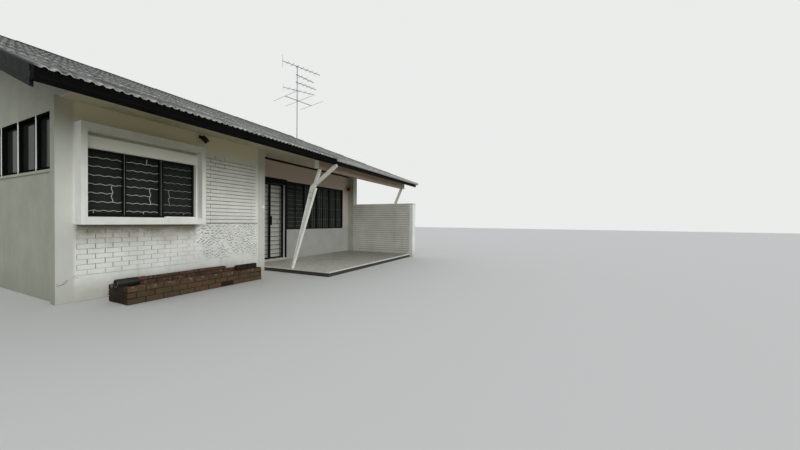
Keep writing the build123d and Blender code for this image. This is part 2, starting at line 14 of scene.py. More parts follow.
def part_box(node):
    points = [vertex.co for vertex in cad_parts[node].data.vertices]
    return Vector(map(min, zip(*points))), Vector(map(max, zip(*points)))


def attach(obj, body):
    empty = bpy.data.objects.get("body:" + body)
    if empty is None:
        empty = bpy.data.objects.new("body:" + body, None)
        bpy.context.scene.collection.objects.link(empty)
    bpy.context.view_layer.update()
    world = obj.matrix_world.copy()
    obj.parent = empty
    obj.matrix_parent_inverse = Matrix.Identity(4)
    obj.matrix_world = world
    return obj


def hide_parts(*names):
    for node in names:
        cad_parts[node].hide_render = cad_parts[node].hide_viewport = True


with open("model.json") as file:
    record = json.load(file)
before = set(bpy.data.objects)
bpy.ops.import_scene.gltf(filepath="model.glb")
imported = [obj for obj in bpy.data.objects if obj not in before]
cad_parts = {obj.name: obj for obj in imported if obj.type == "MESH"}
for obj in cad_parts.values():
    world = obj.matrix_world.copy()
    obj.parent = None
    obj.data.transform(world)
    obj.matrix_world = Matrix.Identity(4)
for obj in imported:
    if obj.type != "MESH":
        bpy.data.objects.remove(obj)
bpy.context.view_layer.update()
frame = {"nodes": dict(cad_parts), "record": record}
rng = np.random.default_rng(7)

# Places read from the CAD frame
(X_LEFT, FACADE_Y, _), (X_PORCH, _, WALL_TOP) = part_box("front_wall_piers")
(ROOF_LEFT, EAVE_Y, _), (ROOF_RIGHT, _, RIDGE_TOP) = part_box("roof_front")
PORCH_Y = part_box("porch_wall_piers")[0][1]
X_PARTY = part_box("party_wall")[0][0]
EAVE_TOP, ROOF_THICK = 2.500, 0.130
PITCH = atan2(RIDGE_TOP - EAVE_TOP, -EAVE_Y)
SLOPE_LENGTH = -EAVE_Y / cos(PITCH)


# Node materials
def shade(tone, factor):
    return tuple(c * factor for c in tone)


class Nodes:
    """A material, with short ways to add and link its shader nodes."""

    def __init__(self, name):
        self.material = bpy.data.materials.new(name)
        self.material.use_nodes = True
        self.tree = self.material.node_tree
        self.shader = self.tree.nodes["Principled BSDF"]
        self.place = self.add("ShaderNodeTexCoord").outputs["Object"]

    def add(self, kind, **settings):
        node = self.tree.nodes.new(kind)
        for key, value in settings.items():
            setattr(node, key, value)
        return node

    def link(self, source, socket):
        self.tree.links.new(source, socket)

    def feed(self, socket, value):
        """Link a socket, or set it to a number or a colour."""
        if isinstance(value, (int, float)):
            socket.default_value = value
        elif isinstance(value, tuple):
            socket.default_value = (*value, 1.0)
        else:
            self.link(value, socket)

    def noise(self, scale, detail=4.0, rough=0.55, stretch=(1, 1, 1)):
        mapping = self.add("ShaderNodeMapping")
        mapping.inputs["Scale"].default_value = stretch
        self.link(self.place, mapping.inputs["Vector"])
        node = self.add("ShaderNodeTexNoise")
        for key, value in (("Scale", scale), ("Detail", detail), ("Roughness", rough)):
            node.inputs[key].default_value = value
        self.link(mapping.outputs[0], node.inputs["Vector"])
        return node.outputs["Fac"]

    def steps(self, value, stops):
        """A ramp of (position, grey or colour) stops."""
        ramp = self.add("ShaderNodeValToRGB")
        ramp.color_ramp.elements[0].position = stops[0][0]
        ramp.color_ramp.elements[1].position = stops[-1][0]
        for position, _ in stops[1:-1]:
            ramp.color_ramp.elements.new(position)
        for element, (_, level) in zip(ramp.color_ramp.elements, stops):
            tone = level if isinstance(level, tuple) else (level, level, level)
            element.color = (*tone, 1.0)
        self.link(value, ramp.inputs["Fac"])
        return ramp.outputs["Color"]

    def mix(self, factor, a, b):
        node = self.add("ShaderNodeMix", data_type="RGBA")
        for index, value in ((0, factor), (6, a), (7, b)):
            self.feed(node.inputs[index], value)
        return node.outputs[2]

    def stain(self, colour, tone, spread, *noise):
        """Mix in a tone where the noise is high. spread: from, to, and how much of it there."""
        start, end, amount = spread
        return self.mix(self.steps(self.noise(*noise), [(start, 0.0), (end, amount)]), colour, tone)

    def math(self, operation, a, b):
        node = self.add("ShaderNodeMath", operation=operation)
        self.feed(node.inputs[0], a)
        self.feed(node.inputs[1], b)
        return node.outputs[0]

    def times(self, first, *others):
        for value in others:
            first = self.math("MULTIPLY", first, value)
        return first

    def axis(self, name):
        split = self.add("ShaderNodeSeparateXYZ")
        self.link(self.place, split.inputs[0])
        return split.outputs[name]

    def attribute(self, name):
        return self.add("ShaderNodeAttribute", attribute_name=name).outputs["Fac"]

    def fade(self, value, low, high):
        """0 at low, 1 at high, straight between."""
        node = self.add("ShaderNodeMapRange", clamp=True)
        node.inputs["From Min"].default_value = low
        node.inputs["From Max"].default_value = high
        self.link(value, node.inputs["Value"])
        return node.outputs[0]

    def bump(self, height, strength, distance, over=None):
        node = self.add("ShaderNodeBump")
        node.inputs["Strength"].default_value = strength
        node.inputs["Distance"].default_value = distance
        self.link(height, node.inputs["Height"])
        if over is not None:
            self.link(over, node.inputs["Normal"])
        return node.outputs[0]

    def finish(self, colour, rough, normal=None, **fixed):
        self.feed(self.shader.inputs["Base Color"], colour)
        self.feed(self.shader.inputs["Roughness"], rough)
        if normal is not None:
            self.link(normal, self.shader.inputs["Normal"])
        for key, value in fixed.items():
            self.shader.inputs[key.replace("_", " ")].default_value = value
        return self.material


def masonry_paint(name, tone, amount=0.5, bump=0.25, warm=None, shade_and_grime=None, hollows=False):
    """Matt masonry paint with trowel marks, blotches, and dirt splashed up from the ground.

    amount is how dirty the foot is. warm is a tone that takes over between two heights: painted
    light and shade that change with height.
    sooty is the band under the window box, part dirt and part painted shade, as x from, x to,
    top; with it the plain strips at both ends of the front are greyer, painted shade. hollows
    paints shade into the mesh's low places."""
    n = Nodes(name)
    colour = n.stain(tone, shade(tone, 0.82), (0.35, 0.7, 1.0), 1.7, 6, 0.6)
    colour = n.stain(colour, shade(tone, 0.72), (0.56, 0.78, 0.6), 9, 4, 0.6, (1, 1, 0.09))
    height = n.axis("Z")
    edge = n.math("ADD", height, n.times(n.noise(6, 5, 0.65), -0.28))
    colour = n.mix(n.times(n.fade(edge, 0.30, -0.10), amount), colour, (0.30, 0.31, 0.25))
    # painted light and shade: the tone changes with height
    if warm:
        high, start, end = warm
        colour = n.mix(n.fade(height, start, end), colour, high)
    # the band under the window box: part dirt, part painted shade cast by the box
    if shade_and_grime:
        first, last, top = shade_and_grime
        x, front = n.axis("X"), n.fade(n.axis("Y"), -3.50, -3.55)
        band = n.math("POWER", n.fade(n.math("ADD", edge, 0.14), top - 0.42, top - 0.06), 1.5)
        begins, ends = n.fade(x, first - 0.03, first + 0.03), n.fade(x, last + 0.02, last - 0.10)
        under = n.math("LESS_THAN", height, top + 0.01)
        band = n.times(band, begins, ends, front, under, 0.92)
        colour = n.mix(band, colour, (0.165, 0.150, 0.105))
        # painted shade: the plain strips at both ends of the front made greyer
        left, right = X_LEFT + 0.197, X_PORCH - 0.197
        plain = n.math(
            "MAXIMUM", n.fade(x, left + 0.01, left - 0.03), n.fade(x, right - 0.01, right + 0.03)
        )
        plain = n.times(plain, front, n.math("LESS_THAN", x, X_PORCH + 0.05), 0.65)
        colour = n.mix(plain, colour, (0.50, 0.51, 0.47))
    if hollows:
        # painted shade in the low places of the mesh
        colour = n.mix(n.times(n.attribute("pan"), 0.80), colour, shade(tone, 0.30))
    colour = n.stain(colour, shade(tone, 0.6), (0.66, 0.74, 0.5), 70, 3, 0.7)
    coarse = n.bump(n.noise(14, 5, 0.6), bump, 0.006)
    fine = n.bump(n.noise(140, 3, 0.6), bump, 0.0012, coarse)
    rough = n.steps(n.noise(30, 3), [(0.3, 0.62), (0.7, 0.82)])
    return n.finish(colour, rough, fine, Specular_IOR_Level=0.25)


def joint_paint(name, tone):
    """Paint, mortar or earth down in a joint, where dirt gathers."""
    n = Nodes(name)
    colour = n.mix(n.noise(25, 5, 0.7), shade(tone, 0.6), shade(tone, 1.35))
    return n.finish(colour, 0.9, n.bump(n.noise(120, 3), 0.4, 0.001), Specular_IOR_Level=0.2)


def metal_paint(
    name, tone, wear=(0.16, 0.10, 0.06), worn=0.25, rough=0.42, metallic=0.0, dust=0.04, shine=0.3
):
    """Painted metal with dust and small worn or rusty spots."""
    n = Nodes(name)
    dusty = tuple(min(1, c * 1.5 + dust) for c in tone)
    colour = n.stain(tone, dusty, (0.4, 0.75, 0.35), 3.5, 5, 0.65)
    colour = n.stain(colour, wear, (0.66, 0.73, worn), 38, 4, 0.7)
    gloss = n.steps(n.noise(12, 4, 0.6), [(0.3, rough - 0.1), (0.7, rough + 0.18)])
    normal = n.bump(n.noise(60, 3, 0.6), 0.2, 0.0012)
    return n.finish(colour, gloss, normal, Metallic=metallic, Specular_IOR_Level=shine)


def painted_wood(
    name, tone, bare=(0.20, 0.17, 0.13), worn=0.6, grain_axis=0, rough=0.55, shine=0.3
):
    """Painted timber: grain lines, faint brush marks and places where the paint has gone."""
    n = Nodes(name)
    stretch = [22.0, 22.0, 22.0]
    stretch[grain_axis] = 1.2
    grain = n.noise(3.0, 5, 0.65, tuple(stretch))
    colour = n.mix(n.steps(grain, [(0.35, 0.0), (0.7, 1.0)]), tone, shade(tone, 0.78))
    colour = n.stain(colour, shade(tone, 0.7), (0.45, 0.75, 0.6), 2.2, 5, 0.6)
    colour = n.stain(colour, bare, (0.60, 0.66, worn), 1.0, 6, 0.7, shade(stretch, 1.2))
    gloss = n.steps(grain, [(0.3, rough - 0.08), (0.7, rough + 0.2)])
    return n.finish(colour, gloss, n.bump(grain, 0.3, 0.0015), Specular_IOR_Level=shine)


def soffit_board(name, tone):
    """Painted sheet with water stains and hairline mottling."""
    n = Nodes(name)
    colour = n.stain(tone, shade(tone, 0.74), (0.35, 0.72, 1.0), 1.1, 6, 0.62)
    ring = n.steps(n.noise(2.6, 3, 0.5), [(0.52, 0.0), (0.56, 0.45), (0.60, 0.05)])
    colour = n.mix(ring, colour, (tone[0] * 0.62, tone[1] * 0.56, tone[2] * 0.46))
    return n.finish(colour, 0.75, n.bump(n.noise(45, 4), 0.15, 0.002), Specular_IOR_Level=0.2)


def sheet_material():
    """Old fibre-cement sheet: grey crests, lichen and run-off down the slope, valleys painted near
    black as shade, and painted shade darker towards the ridge.
    """
    n = Nodes("weathered_sheet")
    tones = [(0.0, (0.20, 0.202, 0.20)), (0.5, (0.40, 0.403, 0.396)), (1.0, (0.62, 0.623, 0.61))]
    colour = n.steps(n.attribute("tile_tone"), tones)
    for tone, spread, noise in (
        ((0.10, 0.102, 0.10), (0.42, 0.68, 0.9), (9, 6, 0.7, (1.0, 0.35, 0.35))),
        ((0.56, 0.565, 0.55), (0.54, 0.66, 0.75), (13, 5, 0.7, (1.0, 0.05, 0.05))),
        ((0.045, 0.046, 0.045), (0.50, 0.66, 0.85), (21, 5, 0.7, (1.0, 0.07, 0.07))),
        ((0.50, 0.505, 0.48), (0.61, 0.68, 0.8), (30, 5, 0.75)),
    ):
        colour = n.stain(colour, tone, spread, *noise)
    # painted shade: the slope darker towards the ridge
    upper = n.times(n.fade(n.axis("Z"), 2.55, 4.3), 0.72)
    colour = n.mix(upper, colour, (0.060, 0.062, 0.061))
    # painted shade: the valleys darkened nearly to black
    valley = n.times(n.math("POWER", n.attribute("pan"), 0.7), 0.95)
    colour = n.mix(valley, colour, (0.010, 0.010, 0.010))
    normal = n.bump(n.noise(95, 4, 0.65), 0.35, 0.0015)
    return n.finish(colour, 0.9, normal, Specular_IOR_Level=0.08)


def brick_material():
    """Old dark red bricks, each with its own tone, soot-stained, mossy low down, pale at the top
    rims from chips and a painted highlight.
    """
    n = Nodes("old_red_brick")
    red, dark_red = (0.200, 0.082, 0.060), (0.115, 0.048, 0.035)
    tones = [(0.0, (0.050, 0.026, 0.020)), (0.45, dark_red), (1.0, red)]
    colour = n.steps(n.attribute("tile_tone"), tones)
    colour = n.stain(colour, (0.082, 0.044, 0.026), (0.36, 0.68, 1.0), 26, 6, 0.7)
    colour = n.stain(colour, (0.034, 0.028, 0.020), (0.42, 0.70, 0.85), 5.0, 5, 0.65)
    moss = n.fade(n.math("ADD", n.axis("Z"), n.times(n.noise(9, 5, 0.7), -0.46)), 0.10, -0.10)
    colour = n.mix(n.times(moss, 0.55), colour, (0.095, 0.076, 0.040))
    # painted shade: the planter's left end face darkened
    end = n.math("LESS_THAN", n.axis("X"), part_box("planter")[0][0] + 0.009)
    colour = n.mix(n.times(end, 0.75), colour, (0.016, 0.011, 0.008))
    colour = n.stain(colour, (0.34, 0.26, 0.19), (0.64, 0.71, 0.55), 48, 4, 0.7)
    # pale top rims: chips, and a painted highlight
    chips_and_highlight = n.steps(n.noise(16, 4, 0.7), [(0.54, 0.0), (0.66, 0.5)])
    colour = n.mix(n.times(n.attribute("pan"), chips_and_highlight), colour, (0.42, 0.33, 0.25))
    return n.finish(colour, 0.9, n.bump(n.noise(80, 5, 0.7), 0.6, 0.003), Specular_IOR_Level=0.15)


def terrazzo_material():
    """Speckled grey floor with dark and pale chips, painted paler towards the doorway as painted
    light.
    """
    n = Nodes("speckled_terrazzo")
    chips = n.add("ShaderNodeTexVoronoi")
    chips.inputs["Scale"].default_value = 70
    n.link(n.place, chips.inputs["Vector"])
    chip_tones = [(0.20, (0.10, 0.10, 0.09)), (0.45, (0.34, 0.33, 0.30)), (0.8, (0.58, 0.57, 0.53))]
    lit_chip_tones = [(0.15, (0.40, 0.39, 0.33)), (0.40, (0.80, 0.79, 0.71)), (0.8, (0.97, 0.96, 0.88))]
    colour = n.steps(chips.outputs["Color"], chip_tones)
    colour = n.stain(colour, (0.27, 0.26, 0.23), (0.38, 0.7, 0.7), 1.6, 6, 0.6)
    colour = n.stain(colour, (0.18, 0.13, 0.09), (0.58, 0.74, 0.5), 3.6, 5, 0.65)
    # painted light: the floor paler towards the doorway, where more sky reaches it
    uneven = n.steps(n.noise(1.3, 5, 0.6), [(0.30, 1.0), (0.75, 0.7)])
    painted_skylight = n.times(n.fade(n.axis("X"), 3.4, 0.4), uneven)
    colour = n.mix(painted_skylight, colour, n.steps(chips.outputs["Color"], lit_chip_tones))
    rough = n.steps(n.noise(6, 4), [(0.3, 0.38), (0.7, 0.66)])
    return n.finish(colour, rough, n.bump(n.noise(90, 3), 0.12, 0.001))


def concrete_material():
    n = Nodes("bare_concrete")
    colour = n.mix(n.noise(4, 6, 0.65), (0.33, 0.32, 0.30), (0.50, 0.49, 0.46))
    return n.finish(colour, 0.88, n.bump(n.noise(60, 5, 0.7), 0.4, 0.003))


def glass_material():
    """Dark tinted window glass, hazy with dust."""
    n = Nodes("dark_tinted_glass")
    haze = n.steps(n.noise(2.2, 5, 0.6), [(0.4, 0.05), (0.75, 0.14)])
    colour = n.mix(n.noise(1.3, 3), (0.018, 0.023, 0.020), (0.040, 0.046, 0.040))
    normal = n.bump(n.noise(3.0, 2), 0.06, 0.004)
    return n.finish(
        colour, haze, normal, Transmission_Weight=0.2, IOR=1.2, Specular_IOR_Level=0.2
    )


def floor_material():
    """A plain pale floor: pale to the camera, a mid tone to the light that bounces up."""
    n = Nodes("studio_floor")
    rays = n.add("ShaderNodeLightPath")
    seen = n.math("MAXIMUM", rays.outputs["Is Camera Ray"], rays.outputs["Is Glossy Ray"])
    seen = n.math("MAXIMUM", seen, rays.outputs["Is Transmission Ray"])
    return n.finish(n.mix(seen, (0.29, 0.285, 0.225), (0.78, 0.78, 0.77)), 0.9)


# One look for each of the record's material slots
paint = {
    # the warmer, darker tone high under the eaves is painted shade
    "painted_wall": masonry_paint(
        "white_masonry", (0.89, 0.90, 0.87), warm=((0.84, 0.79, 0.62), 2.40, 2.62),
        shade_and_grime=(X_LEFT + 0.19, X_LEFT + 1.91, 1.10),
    ),
    "side_wall_paint": masonry_paint("side_masonry", (0.45, 0.46, 0.385)),
    "floor_concrete": concrete_material(),
    "porch_terrazzo": terrazzo_material(),
    "soffit_paint": soffit_board("soffit_sheet", (0.76, 0.71, 0.57)),
    "roof_sheet": sheet_material(),
    "verge_paint": painted_wood(
        "black_board", (0.008, 0.008, 0.0075), (0.03, 0.028, 0.025), 0.4, shine=0.08
    ),
    "gutter_black": metal_paint(
        "black_gutter", (0.003, 0.003, 0.003), worn=0.10, rough=0.7, dust=0.002, shine=0.03
    ),
    "beam_paint": painted_wood("beige_beam", (0.50, 0.385, 0.325), (0.30, 0.22, 0.17), 0.5),
    "post_paint": painted_wood("worn_white_timber", (0.93, 0.94, 0.90), (0.24, 0.22, 0.19), 0.7, 2),
    "surround_paint": masonry_paint("surround_white", (0.93, 0.94, 0.91), amount=0.0, bump=0.15),
    "shutter_paint": metal_paint("shutter_white", (0.93, 0.94, 0.87), (0.40, 0.35, 0.28), 0.4, 0.5),
    "frame_black": metal_paint(
        "dark_window_frame", (0.008, 0.009, 0.008), worn=0.1, rough=0.55, dust=0.006, shine=0.08
    ),
    "tinted_glass": glass_material(),
    "gate_black": metal_paint(
        "black_gate", (0.005, 0.005, 0.006), worn=0.2, rough=0.6, dust=0.004, shine=0.06
    ),
    "door_frame_paint": painted_wood(
        "white_door_frame", (0.42, 0.43, 0.40), worn=0.4, grain_axis=2
    ),
    "door_paint": painted_wood("pale_door", (0.53, 0.53, 0.49), worn=0.25, grain_axis=2, rough=0.4),
    "brick_red": brick_material(),
    "lamp_black": metal_paint(
        "lamp_enamel", (0.007, 0.0065, 0.006), worn=0.3, rough=0.45, dust=0.006
    ),
    "wall_box_red": metal_paint("faded_red", (0.26, 0.105, 0.085), (0.12, 0.05, 0.04), 0.6, 0.5),
    "aerial_metal": metal_paint(
        "weathered_aluminium", (0.30, 0.30, 0.30), worn=0.3, rough=0.5, metallic=0.7
    ),
}

# Looks of single pieces
joint = joint_paint("dirty_joint", (0.16, 0.16, 0.13))
soft_joint = joint_paint("filled_joint", (0.44, 0.44, 0.39))
course_line = joint_paint("course_line", (0.15, 0.15, 0.125))
damp_edge = joint_paint("damp_edge", (0.055, 0.052, 0.042))
sheet_end = joint_paint("sheet_end", (0.42, 0.42, 0.40))
mortar = joint_paint("old_mortar", (0.125, 0.105, 0.070))
sunk_mortar = joint_paint("sunk_mortar", (0.028, 0.022, 0.014))
soil = joint_paint("dry_soil", (0.070, 0.052, 0.030))
charred = joint_paint("sooty_clay", (0.022, 0.014, 0.009))
# painted shade: the porch walls are greyer than the front, darkest low down, lighter and warmer
# towards the top
porch_wall = masonry_paint(
    "porch_masonry", (0.37, 0.37, 0.355), amount=0.3, warm=((0.66, 0.54, 0.47), 0.9, 2.75)
)
low_wall = masonry_paint("low_wall_paint", (0.72, 0.72, 0.67), amount=0.3)
stucco = masonry_paint("thrown_plaster", (0.90, 0.91, 0.88), bump=0.5, hollows=True)
nosing_paint = masonry_paint("nosing_white", (0.68, 0.68, 0.65), amount=0.0, bump=0.3)
shaded_edge_board = painted_wood("shaded_edge_board", (0.11, 0.098, 0.075), worn=0.3, shine=0.1)
dull_black = metal_paint(
    "dull_black_frame", (0.005, 0.0055, 0.005), worn=0.1, rough=0.85, dust=0.002, shine=0.0
)
# its pale dust patches are dust and also a painted sheen on the pipe
pipe_clay = metal_paint(
    "glazed_clay", (0.012, 0.012, 0.010), (0.05, 0.045, 0.03), 0.5, 0.38, dust=0.05, shine=0.5
)
grille_paint = metal_paint("grille_white", (0.52, 0.53, 0.49), (0.16, 0.11, 0.07), 0.6, 0.5)
dusty_grille = metal_paint("grille_dusty", (0.26, 0.265, 0.24), (0.12, 0.09, 0.06), 0.6, 0.6)
dim_bars = metal_paint("dim_bars", (0.11, 0.115, 0.11), worn=0.2, rough=0.6, dust=0.02)
lamp_glass = metal_paint("lamp_glass", (0.10, 0.10, 0.10), worn=0.0, rough=0.25, dust=0.02)
black, white_paint = paint["frame_black"], paint["surround_paint"]

# Nodes that look other than their slot's usual
own_look = {"side_and_rear_frames": dull_black, "party_wall": paint["side_wall_paint"]}
# the porch walls take the greyer porch paint, which is painted shade
for node in ("return_wall", "porch_wall_piers", "porch_wall_sill", "porch_wall_head"):
    own_look[node] = porch_wall

for part in frame["record"]["subparts"]:
    item = frame["nodes"][part["node"]]
    item.data.materials.clear()
    item.data.materials.append(own_look.get(part["node"], paint[part["material_slot"]]))


# Mesh building
def add_object(name, data):
    item = bpy.data.objects.new(name, data)
    bpy.context.scene.collection.objects.link(item)
    return item


def drawn_tone(middle, spread):
    return min(1.0, max(0.0, rng.normal(middle, spread)))


def circle(sides):
    """The cosine and sine of each corner's turn."""
    return [(cos(2 * pi * k / sides), sin(2 * pi * k / sides)) for k in range(sides)]


def ring_faces(count, sides, foot=True):
    """Faces between rings of corners, each and the next, and over the ends. count: all corners."""
    faces = []
    for a in range(count - sides):
        b = a + 1 if (a + 1) % sides else a + 1 - sides
        faces.append([a, b, b + sides, a + sides])
    first = [list(range(sides))[::-1]] if foot else []
    return faces + first + [list(range(count - sides, count))]


def grid_faces(nx, ny):
    """Faces of a sheet of nx by ny fields, its corners row by row."""
    starts = [j * (nx + 1) + i for j, i in product(range(ny), range(nx))]
    return [[k, k + 1, k + nx + 2, k + nx + 1] for k in starts]


BLOCK_CORNERS = 24


class Piece:
    """Collects corners and faces, then makes one mesh object at the origin."""

    def __init__(self):
        self.corners, self.faces, self.slots, self.tones, self.pans = [], [], [], [], []

    def add(self, corners, faces, slot=0, tone=0.5, pans=None):
        """pans tells how deep each corner lies, for the materials that paint shade there; the
        planter's bricks use it to mark their top rims, which get a painted highlight.
        """
        first = len(self.corners)
        self.corners += [tuple(c) for c in corners]
        self.tones += tone if isinstance(tone, list) else [tone] * len(corners)
        self.pans += list(pans) if pans is not None else [0.0] * len(corners)
        for face in faces:
            self.faces.append([first + i for i in face])
            self.slots.append(slot)

    def front_face(self, x0, x1, y, z0, z1, slot=0):
        """One upright face that looks to the garden."""
        corners = [(x0, y, z0), (x1, y, z0), (x1, y, z1), (x0, y, z1)]
        self.add(corners, [[0, 1, 2, 3]], slot)

    def side_face(self, x, y0, y1, z0, z1, slot=0):
        """One upright face that looks to the free end."""
        corners = [(x, y0, z0), (x, y1, z0), (x, y1, z1), (x, y0, z1)]
        self.add(corners, [[0, 1, 2, 3]], slot)

    def block(self, low, high, edge=0.003, slot=0, tone=0.5):
        """A block with its edges taken off."""
        edge = min(edge, min(b - a for a, b in zip(low, high)) * 0.3)
        corners, index = [], {}
        for spot in product((0, 1), repeat=3):
            for axis in range(3):
                place = []
                for k, side in enumerate(spot):
                    inset = 0 if k == axis else edge
                    place.append(high[k] - inset if side else low[k] + inset)
                index[(*spot, axis)] = len(corners)
                corners.append(place)
        faces = []
        for axis in range(3):
            u, v = [k for k in range(3) if k != axis]

            def at(along, a, b, facing):
                spot = [0, 0, 0]
                spot[axis], spot[u], spot[v] = along, a, b
                return index[(*spot, facing)]

            for s in (0, 1):
                faces.append([at(s, a, b, axis) for a, b in ((0, 0), (1, 0), (1, 1), (0, 1))])
            for a, b in product((0, 1), repeat=2):
                faces.append([at(0, a, b, u), at(1, a, b, u), at(1, a, b, v), at(0, a, b, v)])
        for spot in product((0, 1), repeat=3):
            faces.append([index[(*spot, axis)] for axis in range(3)])
        self.add(corners, faces, slot, tone)

    def raised(self, origin, right, up, out, width, height, depth, edge):
        """A low block on a wall: open behind, its front edges sloped in."""
        o, r, u, n = (Vector(v) for v in (origin, right, up, out))
        back = [o, o + r * width, o + r * width + u * height, o + u * height]
        front = [
            o + r * edge + u * edge + n * depth,
            o + r * (width - edge) + u * edge + n * depth,
            o + r * (width - edge) + u * (height - edge) + n * depth,
            o + r * edge + u * (height - edge) + n * depth,
        ]
        sides = [[0, 1, 5, 4], [1, 2, 6, 5], [2, 3, 7, 6], [3, 0, 4, 7]]
        self.add(back + front, [[4, 5, 6, 7]] + sides)

    def tube(self, path, radius, sides=8, slot=0):
        """A round bar along a path of points, with its ends closed."""
        points = [Vector(p) for p in path]
        corners = []
        for i, p in enumerate(points):
            ahead = points[min(i + 1, len(points) - 1)] - points[max(i - 1, 0)]
            ahead.normalize()
            side = (ahead.orthogonal() if i == 0 else side - ahead * side.dot(ahead)).normalized()
            other = ahead.cross(side)
            corners += [p + (side * c + other * s) * radius for c, s in circle(sides)]
        self.add(corners, ring_faces(len(corners), sides), slot)

    def make(self, name, materials, body="house", replaces=(), slot=None, smooth=False):
        mesh = bpy.data.meshes.new(name)
        mesh.from_pydata(self.corners, [], self.faces)
        for material in materials:
            mesh.materials.append(material)
        mesh.polygons.foreach_set("material_index", self.slots)
        for label, values in (("tile_tone", self.tones), ("pan", self.pans)):
            layer = mesh.attributes.new(label, "FLOAT", "POINT")
            layer.data.foreach_set("value", values)
        mesh.validate()
        mesh.update()
        item = add_object(name, mesh)
        if smooth:
            mesh.shade_smooth()
        if replaces:
            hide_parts(*replaces)
        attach(item, body)


# Camera, at the place solved from the photograph's level and upright edges
CAMERA_PLACE = (-5.308, -9.589, 1.180)
YAW, TILT, ROLL = radians(25.32), radians(-0.61), radians(-0.53)
FOCAL_SHARE = 303.5 / 800.0
ahead = Vector((cos(TILT) * cos(YAW), cos(TILT) * sin(YAW), sin(TILT)))
side = Vector((sin(YAW), -cos(YAW), 0))
down = ahead.cross(side)
right = side * cos(ROLL) + down * sin(ROLL)
below = down * cos(ROLL) - side * sin(ROLL)
camera = add_object("camera", bpy.data.cameras.new("camera"))
turned = Matrix((right, -below, -ahead)).transposed().to_4x4()
camera.matrix_world = Matrix.Translation(CAMERA_PLACE) @ turned
camera.data.sensor_width = 36.0
camera.data.lens = 36.0 * FOCAL_SHARE
camera.data.clip_end = 200.0
bpy.context.scene.camera = camera
bpy.context.scene.view_settings.view_transform = "Standard"


# Light: a pale sky all round, and a broad soft lamp from the garden side
def sky():
    world = bpy.data.worlds.new("pale_sky")
    bpy.context.scene.world = world
    world.use_nodes = True
    tree = world.node_tree
    rays = tree.nodes.new("ShaderNodeLightPath")
    shown = tree.nodes.new("ShaderNodeMath")
    shown.operation = "MAXIMUM"
    tree.links.new(rays.outputs["Is Camera Ray"], shown.inputs[0])
    tree.links.new(rays.outputs["Is Transmission Ray"], shown.inputs[1])
    colour = tree.nodes.new("ShaderNodeMix")
    colour.data_type = "RGBA"
    colour.inputs[6].default_value = (0.60, 0.62, 0.63, 1)
    colour.inputs[7].default_value = (0.83, 0.84, 0.83, 1)
    tree.links.new(shown.outputs[0], colour.inputs[0])
    tree.links.new(colour.outputs[2], tree.nodes["Background"].inputs["Color"])
    tree.nodes["Background"].inputs["Strength"].default_value = 1.0


sky()
LAMP_FROM = Vector((-0.40, -0.90, 0.16))
lamp = add_object("soft_lamp", bpy.data.lights.new("soft_lamp", "SUN"))
lamp.data.energy = 1.5
lamp.data.angle = radians(30)
lamp.data.color = (1.0, 0.995, 0.975)
lamp.matrix_world = LAMP_FROM.normalized().to_track_quat("Z", "Y").to_matrix().to_4x4()

mesh = bpy.data.meshes.new("floor")
ground = [(-60, -60, -0.002), (60, -60, -0.002), (60, 60, -0.002), (-60, 60, -0.002)]
mesh.from_pydata(ground, [], [[0, 1, 2, 3]])
mesh.materials.append(floor_material())
floor = add_object("floor", mesh)


# Roof of corrugated sheets
WAVE, WAVE_DEPTH, WAVE_POINTS = 0.0755, 0.0125, 8
SHEET_WAVES, SHEET_ROW, SHEET_LAP = 9, 1.070, 0.150
SHEET_THICK, SHEET_OVERHANG = 0.011, 0.112
PORCH_DROP = 0.032  # how much lower the first row's ends hang over the porch
BOLT_ROWS = (0.075, 0.76)  # from the lower end of each row
BOLT_RINGS = ((0.013, 0.013), (0.017, 0.013), (0.021, 0.006))  # height, radius
BOLT_SIDES = 6


def on_slope(x, along, height, facing):
    """A point on a roof slope: along it from the eave, height off its plane. facing -1 front."""
    y = EAVE_Y + along * cos(PITCH) - height * sin(PITCH)
    z = EAVE_TOP + along * sin(PITCH) + height * cos(PITCH)
    return (x, y if facing < 0 else -y, z)


